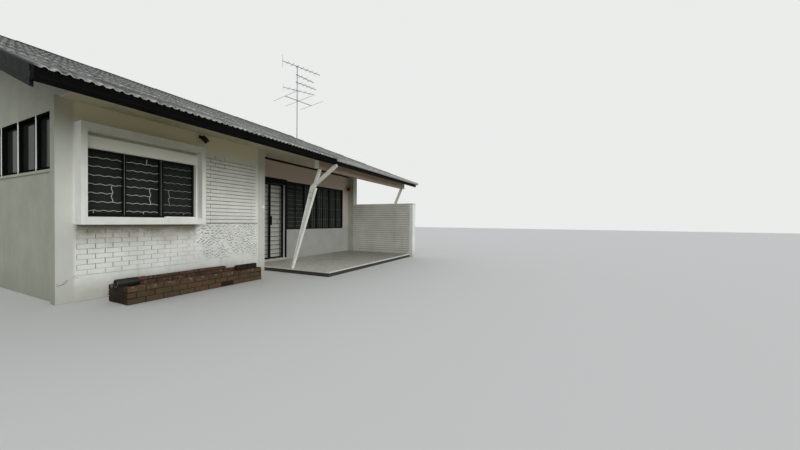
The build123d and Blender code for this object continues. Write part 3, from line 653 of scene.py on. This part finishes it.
def roof_sheets(facing, name, node):
    """Rows of overlapping corrugated sheets on one slope."""
    piece = Piece()
    width = ROOF_RIGHT - ROOF_LEFT
    total = round(width / (WAVE / WAVE_POINTS))
    step = width / total
    per_sheet = SHEET_WAVES * WAVE_POINTS
    rows = int(SLOPE_LENGTH / SHEET_ROW) + 1
    stripes = rng.normal(0.0, 0.20, total // WAVE_POINTS + 2)

    def add(corners, faces, *rest):
        piece.add(corners, [face[::-1] for face in faces] if facing > 0 else faces, *rest)

    for row in range(rows):
        own = rng.normal(0.0, 0.13, total // WAVE_POINTS + 2)
        start = row * SHEET_ROW - (SHEET_OVERHANG if row == 0 else 0.0)
        end = min((row + 1) * SHEET_ROW + SHEET_LAP, SLOPE_LENGTH)
        for first in range(0, total, per_sheet):
            last = min(first + per_sheet, total)
            tone = drawn_tone(0.5, 0.2)
            lift = rng.uniform(-0.0015, 0.0015)
            front = start + rng.uniform(-0.006, 0.006)
            corners, pans, tones = [], [], []
            for k in range(first, last + 1):
                wave_tone = tone + stripes[k // WAVE_POINTS] + own[k // WAVE_POINTS]
                phase = 2 * pi * k / WAVE_POINTS
                wave = -WAVE_DEPTH * cos(phase)
                pan = (0.5 + 0.5 * cos(phase)) ** 0.5
                x = ROOF_LEFT + k * step
                top = wave + lift + SHEET_THICK
                hang = PORCH_DROP if row == 0 and facing < 0 and x > X_PORCH else 0.0
                places = (
                    (front + 0.06, top - SHEET_THICK - 0.001 - hang),
                    (front, top - SHEET_THICK + 0.004 - hang),
                    (front, top + 0.005),
                    (front + 0.20, top),
                    (0.5 * (front + end), top - 0.5 * SHEET_THICK),
                    (end, wave + lift),
                )
                corners += [on_slope(x, along, height, facing) for along, height in places]
                # the first corner, tucked under the sheet's end, is marked deepest and dark: a
                # painted shadow under the lap
                pans += [1.0, 0.0, 0.0, pan, pan, pan]
                tones += [0.2, 1.0, 1.0] + [float(min(1.0, max(0.0, wave_tone)))] * 3
            across, faces = len(places), []
            for i, j in product(range(last - first), range(across - 1)):
                a, b = across * i + j, across * (i + 1) + j
                faces.append([a, b, b + 1, a + 1])
            add(corners, faces, 0, tones, pans)
            # the cut end of the sheet, second of the faces along each wave line
            piece.slots[-len(faces) + 1::across - 1] = [3] * (last - first)
    # the timbers and boards closed in under the sheets
    under = []
    for x in (ROOF_LEFT, ROOF_RIGHT):
        under.append(on_slope(x, 0.0, -0.016, facing))
        under.append(on_slope(x, SLOPE_LENGTH, -0.016, facing))
        under.append((x, 0.0, RIDGE_TOP - ROOF_THICK))
        under.append((x, EAVE_Y if facing < 0 else -EAVE_Y, EAVE_TOP - ROOF_THICK))
    faces = [[0, 1, 5, 4], [1, 2, 6, 5], [2, 3, 7, 6], [3, 0, 4, 7], [0, 3, 2, 1], [4, 5, 6, 7]]
    piece.add(under, faces, 1, 0.2, [1.0] * 8)
    # fixing bolts on the crests above the timbers
    for row, place in product(range(rows), BOLT_ROWS):
        along = row * SHEET_ROW + place
        if along > SLOPE_LENGTH - 0.2:
            continue
        for crest in range(2, int(total / WAVE_POINTS), 3):
            x = ROOF_LEFT + (crest + 0.5) * WAVE_POINTS * step
            corners = [
                on_slope(x + radius * c, along + radius * s, height, facing)
                for (height, radius), (c, s) in product(BOLT_RINGS, circle(BOLT_SIDES))
            ]
            add(corners, ring_faces(len(corners), BOLT_SIDES, foot=False), 2)
    materials = [paint["roof_sheet"], paint["verge_paint"], paint["aerial_metal"], sheet_end]
    piece.make(name, materials, replaces=(node,), slot="roof_sheet")


def ridge_pieces(piece):
    """Folded ridge pieces, each lapping the next, bedded on the sheets."""
    length, radius, sides = 1.20, 0.100, 12
    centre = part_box("ridge_cap")[1][2] - radius - 0.003
    reach = [radians(22 + 136 * k / sides) for k in range(sides + 1)]
    across = len(reach) + 2
    for index in range(int((ROOF_RIGHT - ROOF_LEFT) / length + 0.99)):
        start = ROOF_LEFT + index * length
        end = min(start + length + 0.06, ROOF_RIGHT)
        tone = drawn_tone(0.25, 0.1)
        corners = []
        for x, size in ((start, radius - 0.006), (start, radius + 0.002), (end, radius - 0.006)):
            for angle in reach:
                corners.append((x, -cos(angle) * size, centre + sin(angle) * size))
            for angle, way in ((reach[0], -1), (reach[-1], 1)):
                z = centre + sin(angle) * size - 0.040
                corners.append((x, way * (cos(reach[0]) * size + 0.055), z + (size - radius)))
        ring = [across - 2, *range(across - 2), across - 1]
        faces = []
        for a in (0, across):
            b = a + across
            for p, q in zip(ring, ring[1:]):
                faces.append([a + p, a + q, b + q, b + p])
        piece.add(corners, faces, 0, tone, [0.4] * len(corners))
    # the bedding seen at both ends
    size = radius - 0.007
    for x in (ROOF_LEFT, ROOF_RIGHT):
        fan = [(x, -cos(angle) * size, centre + sin(angle) * size) for angle in reach]
        piece.add(fan, [list(range(len(fan)))], 1)


# Painted brickwork and rough plaster on the front wall, true to scale
BRICK, COURSE = 0.200, 0.075
FIRST_PERPENDS = (0.117, 0.209)  # the first upright joint, in even and in odd courses
PANEL_LEFT, PANEL_RIGHT = X_LEFT + 0.205, X_LEFT + 3.225
PANEL_LOW, PANEL_HIGH, LONG_COURSES_FROM = 0.370, 2.470, 1.10
STUCCO_LEFT, STUCCO_RIGHT = X_LEFT + 1.86, X_LEFT + 3.215
STUCCO_LOW, STUCCO_HIGH, STUCCO_STEP = 0.235, 1.114, 0.0085
STROKES = 420  # on each square metre


def front_brickwork(piece):
    """Running-bond bricks under the window and long courses beside it, thick with paint."""
    window_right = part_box("window_surround")[1][0] - 0.005
    rows = round((PANEL_HIGH - PANEL_LOW) / COURSE)
    for row in range(rows):
        z = PANEL_LOW + row * COURSE
        upper = z > LONG_COURSES_FROM
        first = window_right if upper else PANEL_LEFT
        stop = PANEL_RIGHT if upper else STUCCO_LEFT + 0.05 + 0.07 * sin(row * 2.3)
        x = PANEL_LEFT + FIRST_PERPENDS[row % 2] - BRICK
        while x < stop - 0.03:
            a, b = max(x, first), min(x + BRICK, stop)
            x += BRICK
            if b - a < 0.03:
                continue
            run = (a + b) / 2 - PANEL_LEFT
            if upper:
                # the courses flatten out to the right, and only some perpends show
                strong = max(0.2, min(1.0, (3.16 - run) / 0.30))
                depth = 0.0085 * strong
                bed = 0.0047 * max(0.5, strong) if row < rows - 1 else 0.002
                near = a < window_right + 0.30 or (row >= rows - 3 and run < 2.4)
                gap = 0.0035 if near else -0.003
                dark = near and rng.random() < 0.9
            else:
                strong = max(0.30, min(1.0, 1.20 - run / 2.2)) * (0.5 if row == 0 else 1.0)
                gap = 0.0035 * strong + rng.uniform(-0.0006, 0.0008)
                depth = 0.0065 * strong + 0.001
                bed = 0.0024 * strong + rng.uniform(-0.0004, 0.0008)
                dark = rng.random() < 0.35 + 0.6 * strong
            wobble = rng.uniform(-0.0010, 0.0010)
            piece.raised(
                (a + gap, FACADE_Y, z + bed + wobble), (1, 0, 0), (0, 0, 1), (0, -1, 0),
                b - a - 2 * gap, COURSE - 2 * bed, depth, min(0.0030, depth * 0.6),
            )
            if dark and a > first + 0.01:
                wide = gap + rng.uniform(-0.0012, 0.0008)
                z0, z1 = z + rng.uniform(0.0, 0.012), z + COURSE - rng.uniform(0.0, 0.012)
                piece.front_face(a - wide, a + wide, FACADE_Y - 0.0020, z0, z1, 2)
        # the dirty face seen down in the joints
        x1 = stop - (0.06 if upper else 0.03)
        z0, z1 = z - 0.004, z + COURSE - 0.004
        piece.front_face(first + 0.004, x1, FACADE_Y - 0.0008, z0, z1, 3 if upper else 1)
    # the line where the long courses end above the rough plaster
    piece.front_face(window_right, PANEL_RIGHT - 0.01, FACADE_Y - 0.0095, 1.110, 1.122, 2)


def stucco_panel(piece):
    """Rough plaster combed in short wavy strokes, beside the bricks below the long courses."""
    x0, x1, z0, z1 = STUCCO_LEFT - 0.03, STUCCO_RIGHT, STUCCO_LOW, STUCCO_HIGH
    nx, nz = int((x1 - x0) / STUCCO_STEP), int((z1 - z0) / STUCCO_STEP)
    grid_x, grid_z = np.meshgrid(np.linspace(x0, x1, nx + 1), np.linspace(z0, z1, nz + 1))
    field = np.zeros_like(grid_x)
    for _ in range(int((x1 - x0) * (z1 - z0) * STROKES)):
        cx, cz = rng.uniform(x0, x1), rng.uniform(z0, z1)
        angle = rng.normal(0.0, 0.30) + (0.42 if rng.random() < 0.5 else -0.42)
        pace, phase = rng.uniform(0.045, 0.058), rng.uniform(0.0, 2 * pi)
        dx, dz = grid_x - cx, grid_z - cz
        near = (abs(dx) < 0.15) & (abs(dz) < 0.15)
        u = dx[near] * cos(angle) + dz[near] * sin(angle)
        v = -dx[near] * sin(angle) + dz[near] * cos(angle)
        stroke = np.exp(-((u / 0.060) ** 2 + (v / 0.042) ** 2))
        field[near] += stroke * np.cos(2 * pi * v / pace + phase)
    field /= field.std()
    height = 0.011 * np.clip(0.6 + 0.45 * field, 0, 1)
    # it thins out in a wavy line at the foot and on the left
    wave = 0.05 * np.sin(grid_x * 6.1 + 0.5) + 0.03 * np.sin(grid_x * 17.0)
    foot = 0.36 + 0.16 * np.clip((STUCCO_LEFT + 0.45 - grid_x) / 0.45, 0, 1) + wave
    edge = np.clip((grid_z - foot) / 0.10, 0, 1)
    edge *= np.clip((grid_x - x0 - 0.03 - 0.04 * np.sin(grid_z * 31)) / 0.06, 0, 1)
    edge *= np.clip((x1 - grid_x) / 0.03, 0, 1) * np.clip((z1 - grid_z) / 0.006, 0, 1)
    depth = (0.0020 + height) * edge - 0.0012 * (edge <= 0)
    # how deep each corner lies in a hollow, where the material paints shade
    hollow = np.clip(-0.25 - field, 0, 1) * edge
    places = zip(grid_x.ravel(), depth.ravel(), grid_z.ravel())
    corners = [(float(a), FACADE_Y - float(d), float(c)) for a, d, c in places]
    shown = edge.ravel() > 0
    faces = [face for face in grid_faces(nx, nz) if shown[face].any()]
    piece.add(corners, faces, 0, 0.5, [float(v) for v in hollow.ravel()])


def wall_end_shade(piece):
    """Painted shade on the narrow end of the front wall, in the side wall's greyer paint."""
    x, y0, y1 = X_LEFT - 0.0012, FACADE_Y + 0.004, FACADE_Y + 0.149
    corners = []
    for k in range(13):
        z = 0.001 + (WALL_TOP - 0.002) * k / 12
        corners += [(x, y1, z), (x, y0, z)]
    piece.add(corners, grid_faces(1, 12))


def wall_cracks(piece):
    """The crack and the small chips low on the left end of the front wall."""
    y = FACADE_Y - 0.0012
    for width, path in (
        (0.011, ((0.013, 0.250), (0.040, 0.262), (0.075, 0.270), (0.098, 0.284), (0.117, 0.303))),
        (0.006, ((0.012, 0.292), (0.022, 0.283), (0.030, 0.270))),
        (0.007, ((0.070, 0.296), (0.088, 0.299), (0.112, 0.318), (0.135, 0.325))),
        (0.008, ((0.168, 0.352), (0.188, 0.366), (0.204, 0.372))),
        (0.006, ((0.186, 0.338), (0.214, 0.341), (0.236, 0.342))),
    ):
        last = len(path) - 1
        for k in range(last):
            (xa, za), (xb, zb) = path[k], path[k + 1]
            taper = [0.25 + 0.75 * sin(pi * (j + 0.5) / (last + 1)) for j in (k, k + 1)]
            wa, wb = (width * share / 2 for share in taper)
            quad = [(xa, za - wa), (xb, zb - wb), (xb, zb + wb), (xa, za + wa)]
            piece.add([(X_LEFT + x, y, z) for x, z in quad], [[0, 1, 2, 3]])


# Front window: sashes, and a grille of wavy bars behind them in three panes
def wavy(x0, x1, z, amplitude=0.007, wave=0.115, phase=0.0, upright=False):
    """A gently waved bar, level or upright (then x0, x1 are heights and z is its x)."""
    y = FACADE_Y + 0.030
    count = max(4, int(abs(x1 - x0) / 0.018))
    points = []
    for k in range(count + 1):
        t = x0 + (x1 - x0) * k / count
        off = amplitude * sin(2 * pi * (t / wave) + phase)
        points.append((z + off, y, t) if upright else (t, y, z + off))
    return points


def front_grille(piece):
    rows = [1.305 + 0.131 * k for k in range(7)]
    low, high, bar = 1.244, 2.204, 0.0055
    # each pane: left, right, its tall post and on which side of it the third bar is missing,
    # the short uprights at its foot and head; the last pane's paint is dusty
    for index, (left, right, post, way, foot, head) in enumerate((
        (0.290, 0.735, 0.616, -1, 0.405, None),
        (0.770, 1.233, 1.114, -1, 1.024, 1.068),
        (1.306, 1.795, 1.400, 1, 1.647, None),
    )):
        left, right, post, foot = (X_LEFT + x for x in (left, right, post, foot))
        slot = 1 if index == 2 else 0
        for k, z in enumerate(rows):
            a, b = left, right
            if k == 2:
                a, b = (left, post) if way < 0 else (post, right)
            piece.tube(wavy(a, b, z, phase=0.7 * k + 1.9 * index), bar, 6, slot)
        piece.tube(wavy(rows[1], rows[3], post, 0.009, 0.13, upright=True), bar, 6, slot)
        piece.tube(wavy(low, rows[0], foot, 0.004, 0.12, upright=True), bar, 6, slot)
        if head:
            piece.tube(wavy(rows[6], high, X_LEFT + head, 0.005, 0.12, upright=True), bar, 6)


def front_sashes(piece):
    """Sliding sash rails and the double meeting bars in front of the glass."""
    left, right = X_LEFT + 0.291, X_LEFT + 1.797
    low, high = 1.243, 2.205
    y0, y1 = FACADE_Y - 0.006, FACADE_Y + 0.020
    for a, b in ((0.738, 0.750), (0.757, 0.769), (1.237, 1.257), (1.272, 1.300)):
        piece.block((X_LEFT + a, y0, low), (X_LEFT + b, y1, high), 0.002)
    for z in (low, high - 0.028):
        piece.block((left, y0 + 0.004, z), (right, y1, z + 0.024), 0.002)
    for a in (left, right - 0.024):
        piece.block((a, y0 + 0.004, low), (a + 0.024, y1, high), 0.002)
    for a in (X_LEFT + 0.7515, X_LEFT + 1.2600):
        piece.block((a, y0 - 0.001, low), (a + 0.0045, y0 + 0.006, high), 0.001, 1)


def planter_bricks(piece):
    """Three rough courses all round, and a fourth that stands broken off along the back."""
    (x0, y0, _), (x1, y1, back_top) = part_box("planter")
    wall, rows, course, gap = 0.105, 3, 0.083, 0.009
    front_top = rows * course
    thick = wall - 0.008

    def line(along, start, end, fixed, z, top, shift, dark=0.0, burnt=0.03):
        """One course of bricks; its broken rims pale where they are near the top, from chips and a
        painted highlight.
        """
        size = 0.225
        t = start - (size / 2 if shift else 0)
        while t < end - 0.01:
            a, b = max(t, start), min(t + size, end)
            t += size
            if b - a < 0.05:
                continue
            out, up, _ = rng.uniform(-0.004, 0.004, 3)
            tone = drawn_tone(0.45 - dark, 0.25)
            low, high = [a + gap / 2, fixed + out, z], [b - gap / 2, fixed + thick + out, top + up]
            if along == "y":
                low[:2], high[:2] = low[1::-1], high[1::-1]
            slot = 3 if rng.random() < burnt else 0
            piece.block(low, high, 0.007, slot, tone)
            if slot == 0:
                # top rims marked for the material's pale chips and painted highlight
                middle = 0.5 * (low[2] + high[2])
                rims = [c[2] > middle > front_top - 0.08 for c in piece.corners[-BLOCK_CORNERS:]]
                piece.pans[-BLOCK_CORNERS:] = [float(rim) for rim in rims]

    for row in range(rows):
        z, top = row * course + 0.002, (row + 1) * course - gap / 2
        odd, even = row % 2, (row + 1) % 2
        line("x", x0, x1, y0 + 0.004, z, top, odd)
        line("x", x0, x1, y1 - wall + 0.004, z, top, even)
        line("y", y0 + wall, y1 - wall, x0 + 0.004, z, top, odd, 0.42, 0.7)
        line("y", y0 + wall, y1 - wall, x1 - wall + 0.004, z, top, even)
    base = front_top + 0.002
    line("x", x0 + 0.225, x1 - 0.46, y1 - wall + 0.004, base, back_top - 0.004, 0)
    # two burnt bricks laid on the front wall near its right end
    for a, b in ((x1 - 0.530, x1 - 0.320), (x1 - 0.312, x1 - 0.100)):
        piece.block((a, y0 + 0.024, base - 0.002), (b, y0 + 0.100, base + 0.086), 0.007, 3, 0.1)
    # the short pipe built in at the top of the left end
    middle, level, radius, sides = y1 - 0.225, front_top + 0.026, 0.060, 20
    rings = ((0.030, 0.046), (-0.004, 0.047), (-0.005, 0.058), (-0.001, radius), (0.250, radius))
    corners = [
        (x0 + x, middle + size * c, level + size * s)
        for (x, size), (c, s) in product(rings, circle(sides))
    ]
    piece.add(corners, ring_faces(len(corners), sides), 4)
    # the mortar core
    left, right, front, back = x0 + 0.012, x1 - 0.012, y0 + 0.012, y1 - 0.012
    core_top, thin = front_top - 0.016, wall - 0.012
    for a, b in (
        ((left, front), (right, y0 + thin)), ((left, y1 - thin), (right, back)),
        ((left, front), (x0 + thin, back)), ((x1 - thin, front), (right, back)),
    ):
        piece.block((*a, 0.0), (*b, core_top), 0.004, 1)
    # the soil bed
    nx, ny, rim = 60, 12, wall - 0.01
    corners = []
    for j, i in product(range(ny + 1), range(nx + 1)):
        x = x0 + rim + (x1 - rim - (x0 + rim)) * i / nx
        y = y0 + rim + (y1 - rim - (y0 + rim)) * j / ny
        corners.append((x, y, 0.058 + rng.uniform(0, 0.008)))
    piece.add(corners, grid_faces(nx, ny), 2)


# Small parts of the eaves
def gutter_lips(piece):
    """The gutters' rolled lips and their brackets, front and back."""
    (left, front, bottom), (right, _, top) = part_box("gutters")
    spacing = 0.60
    for way, end in ((1, X_PORCH - 0.020), (-1, right)):
        near = way * front
        y = near + way * 0.002
        for z, radius, slot in (
            (top - 0.004, 0.0065, 0), (bottom + 0.034, 0.0028, 1), (bottom + 0.006, 0.0035, 0),
        ):
            piece.tube([(left + 0.004, y, z), (end - 0.004, y, z)], radius, 8, slot)
        y0, y1 = sorted((near - way * 0.004, near + way * 0.001))
        for k in range(int((end - left) / spacing)):
            x = left + 0.25 + k * spacing
            piece.block((x, y0, bottom + 0.004), (x + 0.022, y1, top + 0.002), 0.001)


def soffit_edge_strips(piece):
    """The strip between the soffit's edge and the board above it, front and back: painted shade,
    dark beige beside the front room and black over the porch.
    """
    left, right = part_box("gutters")[0][0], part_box("gutters")[1][0]
    z0, z1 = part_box("soffits")[0][2] + 0.001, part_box("fascia_boards")[0][2] - 0.001
    for way in (1, -1):
        y0, y1 = sorted((way * (EAVE_Y + 0.0005), way * (EAVE_Y - 0.006)))
        for a, b, slot in ((left + 0.77, X_PORCH, 0), (X_PORCH, right - 0.002, 1)):
            piece.block((a, y0, z0), (b, y1, z1), 0.001, slot)


# Small parts of the porch
def porch_ceiling_strip(piece):
    """A black strip where the porch's back wall meets its ceiling."""
    back = PORCH_Y - 0.0005
    piece.block((X_PORCH + 0.002, PORCH_Y - 0.028, 2.790), (X_PARTY - 0.002, back, 2.836), 0.004)


def slab_nosing(piece):
    """The porch slab's painted edge in short lengths, front and left, and the damp face below."""
    (x0, y0, _), (_, _, top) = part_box("porch_slab")
    foot, crest, along_front, along_side = top - 0.026, top + 0.0025, 24, 11
    for k in range(along_front):
        a, b = (x0 + (X_PARTY - x0) * j / along_front for j in (k, k + 1))
        piece.block((a + 0.001, y0 - 0.006, foot), (b - 0.001, y0 + 0.045, crest), 0.004)
    for k in range(along_side):
        a, b = (y0 + 0.046 + (FACADE_Y - y0 - 0.05) * j / along_side for j in (k, k + 1))
        piece.block((x0 - 0.006, a + 0.001, foot), (x0 + 0.040, b - 0.001, crest), 0.004)
    piece.front_face(x0, X_PARTY, y0 - 0.0012, 0.0, top - 0.024, 1)
    piece.side_face(x0 - 0.0012, FACADE_Y, y0, 0.0, top - 0.024, 1)


def low_wall_courses(piece):
    """Painted courses on the porch side of the low wall, and its capping."""
    (face, front, _), (right, back, top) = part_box("porch_party_wall")
    start, stop, head, gap = front + 0.105, back - 0.010, top - 0.030, 0.0012
    rows = int((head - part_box("porch_slab")[1][2]) / COURSE)
    base = head - rows * COURSE
    for row in range(rows):
        z = base + row * COURSE
        y = stop + rng.choice([0.0, 0.1, 0.2, 0.3])
        while y > start + 0.03:
            long = BRICK * rng.integers(2, 5)
            a, b = max(y - long, start), min(y, stop)
            y -= long
            if b - a < 0.03:
                continue
            bed = 0.0042 + rng.uniform(-0.0004, 0.0006)
            piece.raised(
                (face, b - gap, z + bed), (0, -1, 0), (0, 0, 1), (-1, 0, 0),
                b - a - 2 * gap, COURSE - 2 * bed, 0.007, 0.003,
            )
    piece.side_face(face - 0.0008, stop, start, base, head, 1)
    low = (face - 0.010, front - 0.008, top - 0.028)
    piece.block(low, (right + 0.008, back - 0.001, top + 0.001), 0.006)


def porch_window_bars(piece):
    """Pale bars that show through the porch window's glass, and the dark posts before it."""
    (left, face, low), (right, _, high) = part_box("porch_window_frame")
    y = face + 0.046
    for k in range(10):
        z = low + 0.10 + k * 0.127
        piece.tube([(left + 0.04, y, z), (left + 0.68, y, z)], 0.005, 6)
    for k in range(17):
        x = left + 0.78 + k * 0.108
        if x < right - 0.05:
            piece.tube([(x, y, low + 0.04), (x, y, high - 0.04)], 0.0045, 6)
    for z in (low + 0.30, low + 0.66, low + 1.02):
        piece.tube([(left + 0.72, y, z), (right - 0.05, y, z)], 0.0045, 6)
    y0, y1, z0, z1 = face + 0.008, face + 0.030, low + 0.035, high - 0.035
    for share in (0.130, 0.370, 0.597, 0.860):
        x = left + (right - left) * share
        piece.block((x - 0.010, y0, z0), (x + 0.010, y1, z1), 0.002, 1)


def beam_end_paint(piece):
    """The white painted end of the porch beam."""
    (x, front, z), (_, back, _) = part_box("porch_beam")
    low, high = (x - 0.0015, front + 0.001, z + 0.001), (x + 0.030, back - 0.001, z + 0.172)
    piece.block(low, high, 0.001)


def wall_box_lid(piece):
    """The red box's lid and the dark opening low on its face."""
    (x0, y0, z0), (x1, y1, z1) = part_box("red_wall_box")
    left = x0 - 0.003
    piece.block((left, y0 - 0.003, z1 - 0.030), (x1 - 0.004, y1 + 0.002, z1 + 0.003), 0.003)
    piece.block((left, y0 + 0.030, z0 + 0.030), (x0 + 0.002, y1 - 0.030, z0 + 0.085), 0.002, 1)


# Small parts of the front
def window_box_fillets(piece):
    """Raised edges at the head and the right side of the box round the front window."""
    (left, front, bottom), (right, _, top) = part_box("window_surround")
    right, back = right - 0.001, front + 0.004
    for z in (top - 0.016, top - 0.105):
        piece.block((left + 0.001, front - 0.005, z), (right, back, z + 0.015), 0.003)
    low, high = (right - 0.013, front - 0.004, bottom + 0.10), (right, back, top - 0.02)
    piece.block(low, high, 0.003)


def shutter_edges(piece):
    """The shutter box's edges and guides, the sill pieces, and the strip over the shutter, which is
    painted shade in the gap there.
    """
    surround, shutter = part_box("window_surround"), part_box("shutter_box")
    left, right = surround[0][0] + 0.070, surround[1][0] - 0.070
    y, top = shutter[0][1], shutter[1][2]
    bottom, sill = top - 0.180, surround[0][2] + 0.106
    x0, x1 = left + 0.002, right - 0.002
    piece.block((x0, y - 0.006, bottom - 0.001), (x1, y + 0.008, bottom + 0.016), 0.004)
    piece.block((x0, y - 0.004, top - 0.014), (x1, y + 0.008, top + 0.002), 0.003)
    for x in (right - 0.025, right - 0.010):
        low, high = (x, y - 0.004, sill + 0.001), (x + 0.008, y + 0.006, bottom - 0.002)
        piece.block(low, high, 0.002)
    middle, back = X_LEFT + 1.306, FACADE_Y - 0.006
    piece.block((middle, y + 0.004, sill), (right - 0.030, back, sill + 0.029), 0.004)
    piece.block((left + 0.030, y + 0.030, sill), (middle, back, sill + 0.008), 0.002)
    # a sheet painted as the shaded gap over the shutter
    piece.front_face(left, right, FACADE_Y - 0.001, top + 0.003, surround[1][2] - 0.106, 1)


def wall_conduit(piece):
    """The conduit beside the doorway, its box and its clips."""
    x, y, back, radius = X_PORCH - 0.122, FACADE_Y - 0.009, FACADE_Y - 0.0005, 0.0085
    piece.tube([(x, y, 1.475), (x, y, 2.30)], radius)
    piece.block((x + 0.030, FACADE_Y - 0.030, 1.455), (x + 0.092, back, 1.535), 0.006)
    for z in (1.60, 1.90, 2.20):
        piece.block((x - 0.014, FACADE_Y - 0.004, z), (x + 0.014, back, z + 0.014), 0.001)
    bend = [(x, FACADE_Y - 0.008), (x + 0.03, FACADE_Y - 0.010), (x + 0.05, FACADE_Y - 0.012)]
    piece.tube([(a, b, 1.480) for a, b in bend], radius)


def lamp_rims(piece):
    """Ribs and rim round the spot lamp, and its glass."""
    aim = Vector((0.55, -0.40, -0.73)).normalized()
    back = Vector((X_LEFT + 1.925, FACADE_Y - 0.060, 2.770))
    for along, radius, thick, slot in (
        (0.016, 0.0485, 0.004, 0), (0.040, 0.0485, 0.004, 0), (0.064, 0.0485, 0.004, 0),
        (0.113, 0.0500, 0.011, 0), (0.1252, 0.038, 0.0015, 1),
    ):
        start = back + aim * along
        piece.tube([start, start + aim * thick], radius, 24, slot)


def side_window_posts(piece):
    """Pale posts between the panes of the high windows on the free end."""
    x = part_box("side_and_rear_frames")[0][0]
    for y in (-2.781, -2.052, -1.290, 0.60, 1.36, 2.12, 2.85):
        piece.block((x - 0.004, y - 0.0125, 1.880), (x + 0.006, y + 0.0125, 2.698), 0.002)


# The raking post's line, and how wide it is at both ends
POST_FOOT, POST_HEAD = Vector((0, FACADE_Y - 0.830, 0.100)), Vector((0, FACADE_Y - 1.434, 1.920))
FOOT_WIDTH, HEAD_WIDTH = 0.035, 0.153


def post_boards(piece):
    """Edge boards and bolts on the big raking post, and a board on the party line's post."""
    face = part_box("raking_posts")[0][0]
    run = POST_HEAD - POST_FOOT
    across = Vector((0, -run.z, run.y)).normalized()
    for side in (1, -1):
        corners = []
        for share in (0.01, 0.985):
            middle = POST_FOOT + run * share
            half = (FOOT_WIDTH + (HEAD_WIDTH - FOOT_WIDTH) * share) / 2
            for reach in (half - 0.001, max(0.002, half - 0.022)):
                place = middle + across * side * reach
                corners += [(x, place.y, place.z) for x in (face + 0.002, face - 0.005)]
        faces = [[0, 1, 3, 2], [4, 6, 7, 5], [0, 4, 5, 1], [2, 3, 7, 6], [1, 5, 7, 3], [0, 2, 6, 4]]
        piece.add(corners, faces)
    low, high = Vector((0, FACADE_Y - 1.337, 1.801)), Vector((0, FACADE_Y - 1.560, 2.299))
    rise = high - low
    side = Vector((0, -rise.z, rise.y)).normalized() * 0.048
    outline = (low - side, low + side, high + side, high - side)
    corners = [(x, c.y, c.z) for x, c in product((X_PARTY + 0.014, X_PARTY + 0.026), outline)]
    faces = [[0, 1, 2, 3], [7, 6, 5, 4], [0, 4, 5, 1], [1, 5, 6, 2], [2, 6, 7, 3], [3, 7, 4, 0]]
    piece.add(corners, faces)
    for share, shift in ((0.93, 0.030), (0.87, 0.020), (0.93, -0.035)):
        middle = POST_FOOT + run * share + across * shift
        piece.tube([(x, middle.y, middle.z) for x in (face - 0.006, face + 0.004)], 0.010, 10, 1)


# Each piece has its function's name. Its slot in the record and its materials stand beside it.
# The order matters, because several of them draw from the one generator.
replaced = {"ridge_pieces": ("ridge_cap",), "planter_bricks": ("planter",)}
roof_sheets(-1, "roof_sheets_front", "roof_front")
roof_sheets(1, "roof_sheets_back", "roof_back")
for build, slot, *materials in (
    (ridge_pieces, "roof_sheet", paint["roof_sheet"], mortar),
    (front_brickwork, "painted_wall", paint["painted_wall"], soft_joint, joint, course_line),
    (stucco_panel, "painted_wall", stucco),
    (front_grille, "shutter_paint", grille_paint, dusty_grille),
    (front_sashes, "frame_black", black, dusty_grille),
    (planter_bricks, "brick_red", paint["brick_red"], sunk_mortar, soil, charred, pipe_clay),
    (gutter_lips, "gutter_black", paint["gutter_black"], paint["verge_paint"]),
    (soffit_edge_strips, "soffit_paint", shaded_edge_board, paint["verge_paint"]),
    (porch_ceiling_strip, "verge_paint", paint["verge_paint"]),
    (slab_nosing, "porch_terrazzo", nosing_paint, damp_edge),
    (low_wall_courses, "painted_wall", low_wall, joint),
    (porch_window_bars, "frame_black", dim_bars, black),
    (beam_end_paint, "post_paint", paint["post_paint"]),
    (wall_box_lid, "wall_box_red", paint["wall_box_red"], black),
    (window_box_fillets, "surround_paint", white_paint),
    (shutter_edges, "shutter_paint", white_paint, paint["soffit_paint"]),
    (wall_conduit, "surround_paint", white_paint),
    (lamp_rims, "lamp_black", paint["lamp_black"], lamp_glass),
    (side_window_posts, "frame_black", paint["shutter_paint"]),
    (wall_end_shade, "side_wall_paint", paint["side_wall_paint"]),
    (wall_cracks, "painted_wall", joint),
    (post_boards, "post_paint", paint["post_paint"], black),
):
    name, piece = build.__name__, Piece()
    build(piece)
    nodes = replaced.get(name, ())
    piece.make(name, materials, replaces=nodes, slot=slot, smooth=name == "front_grille")
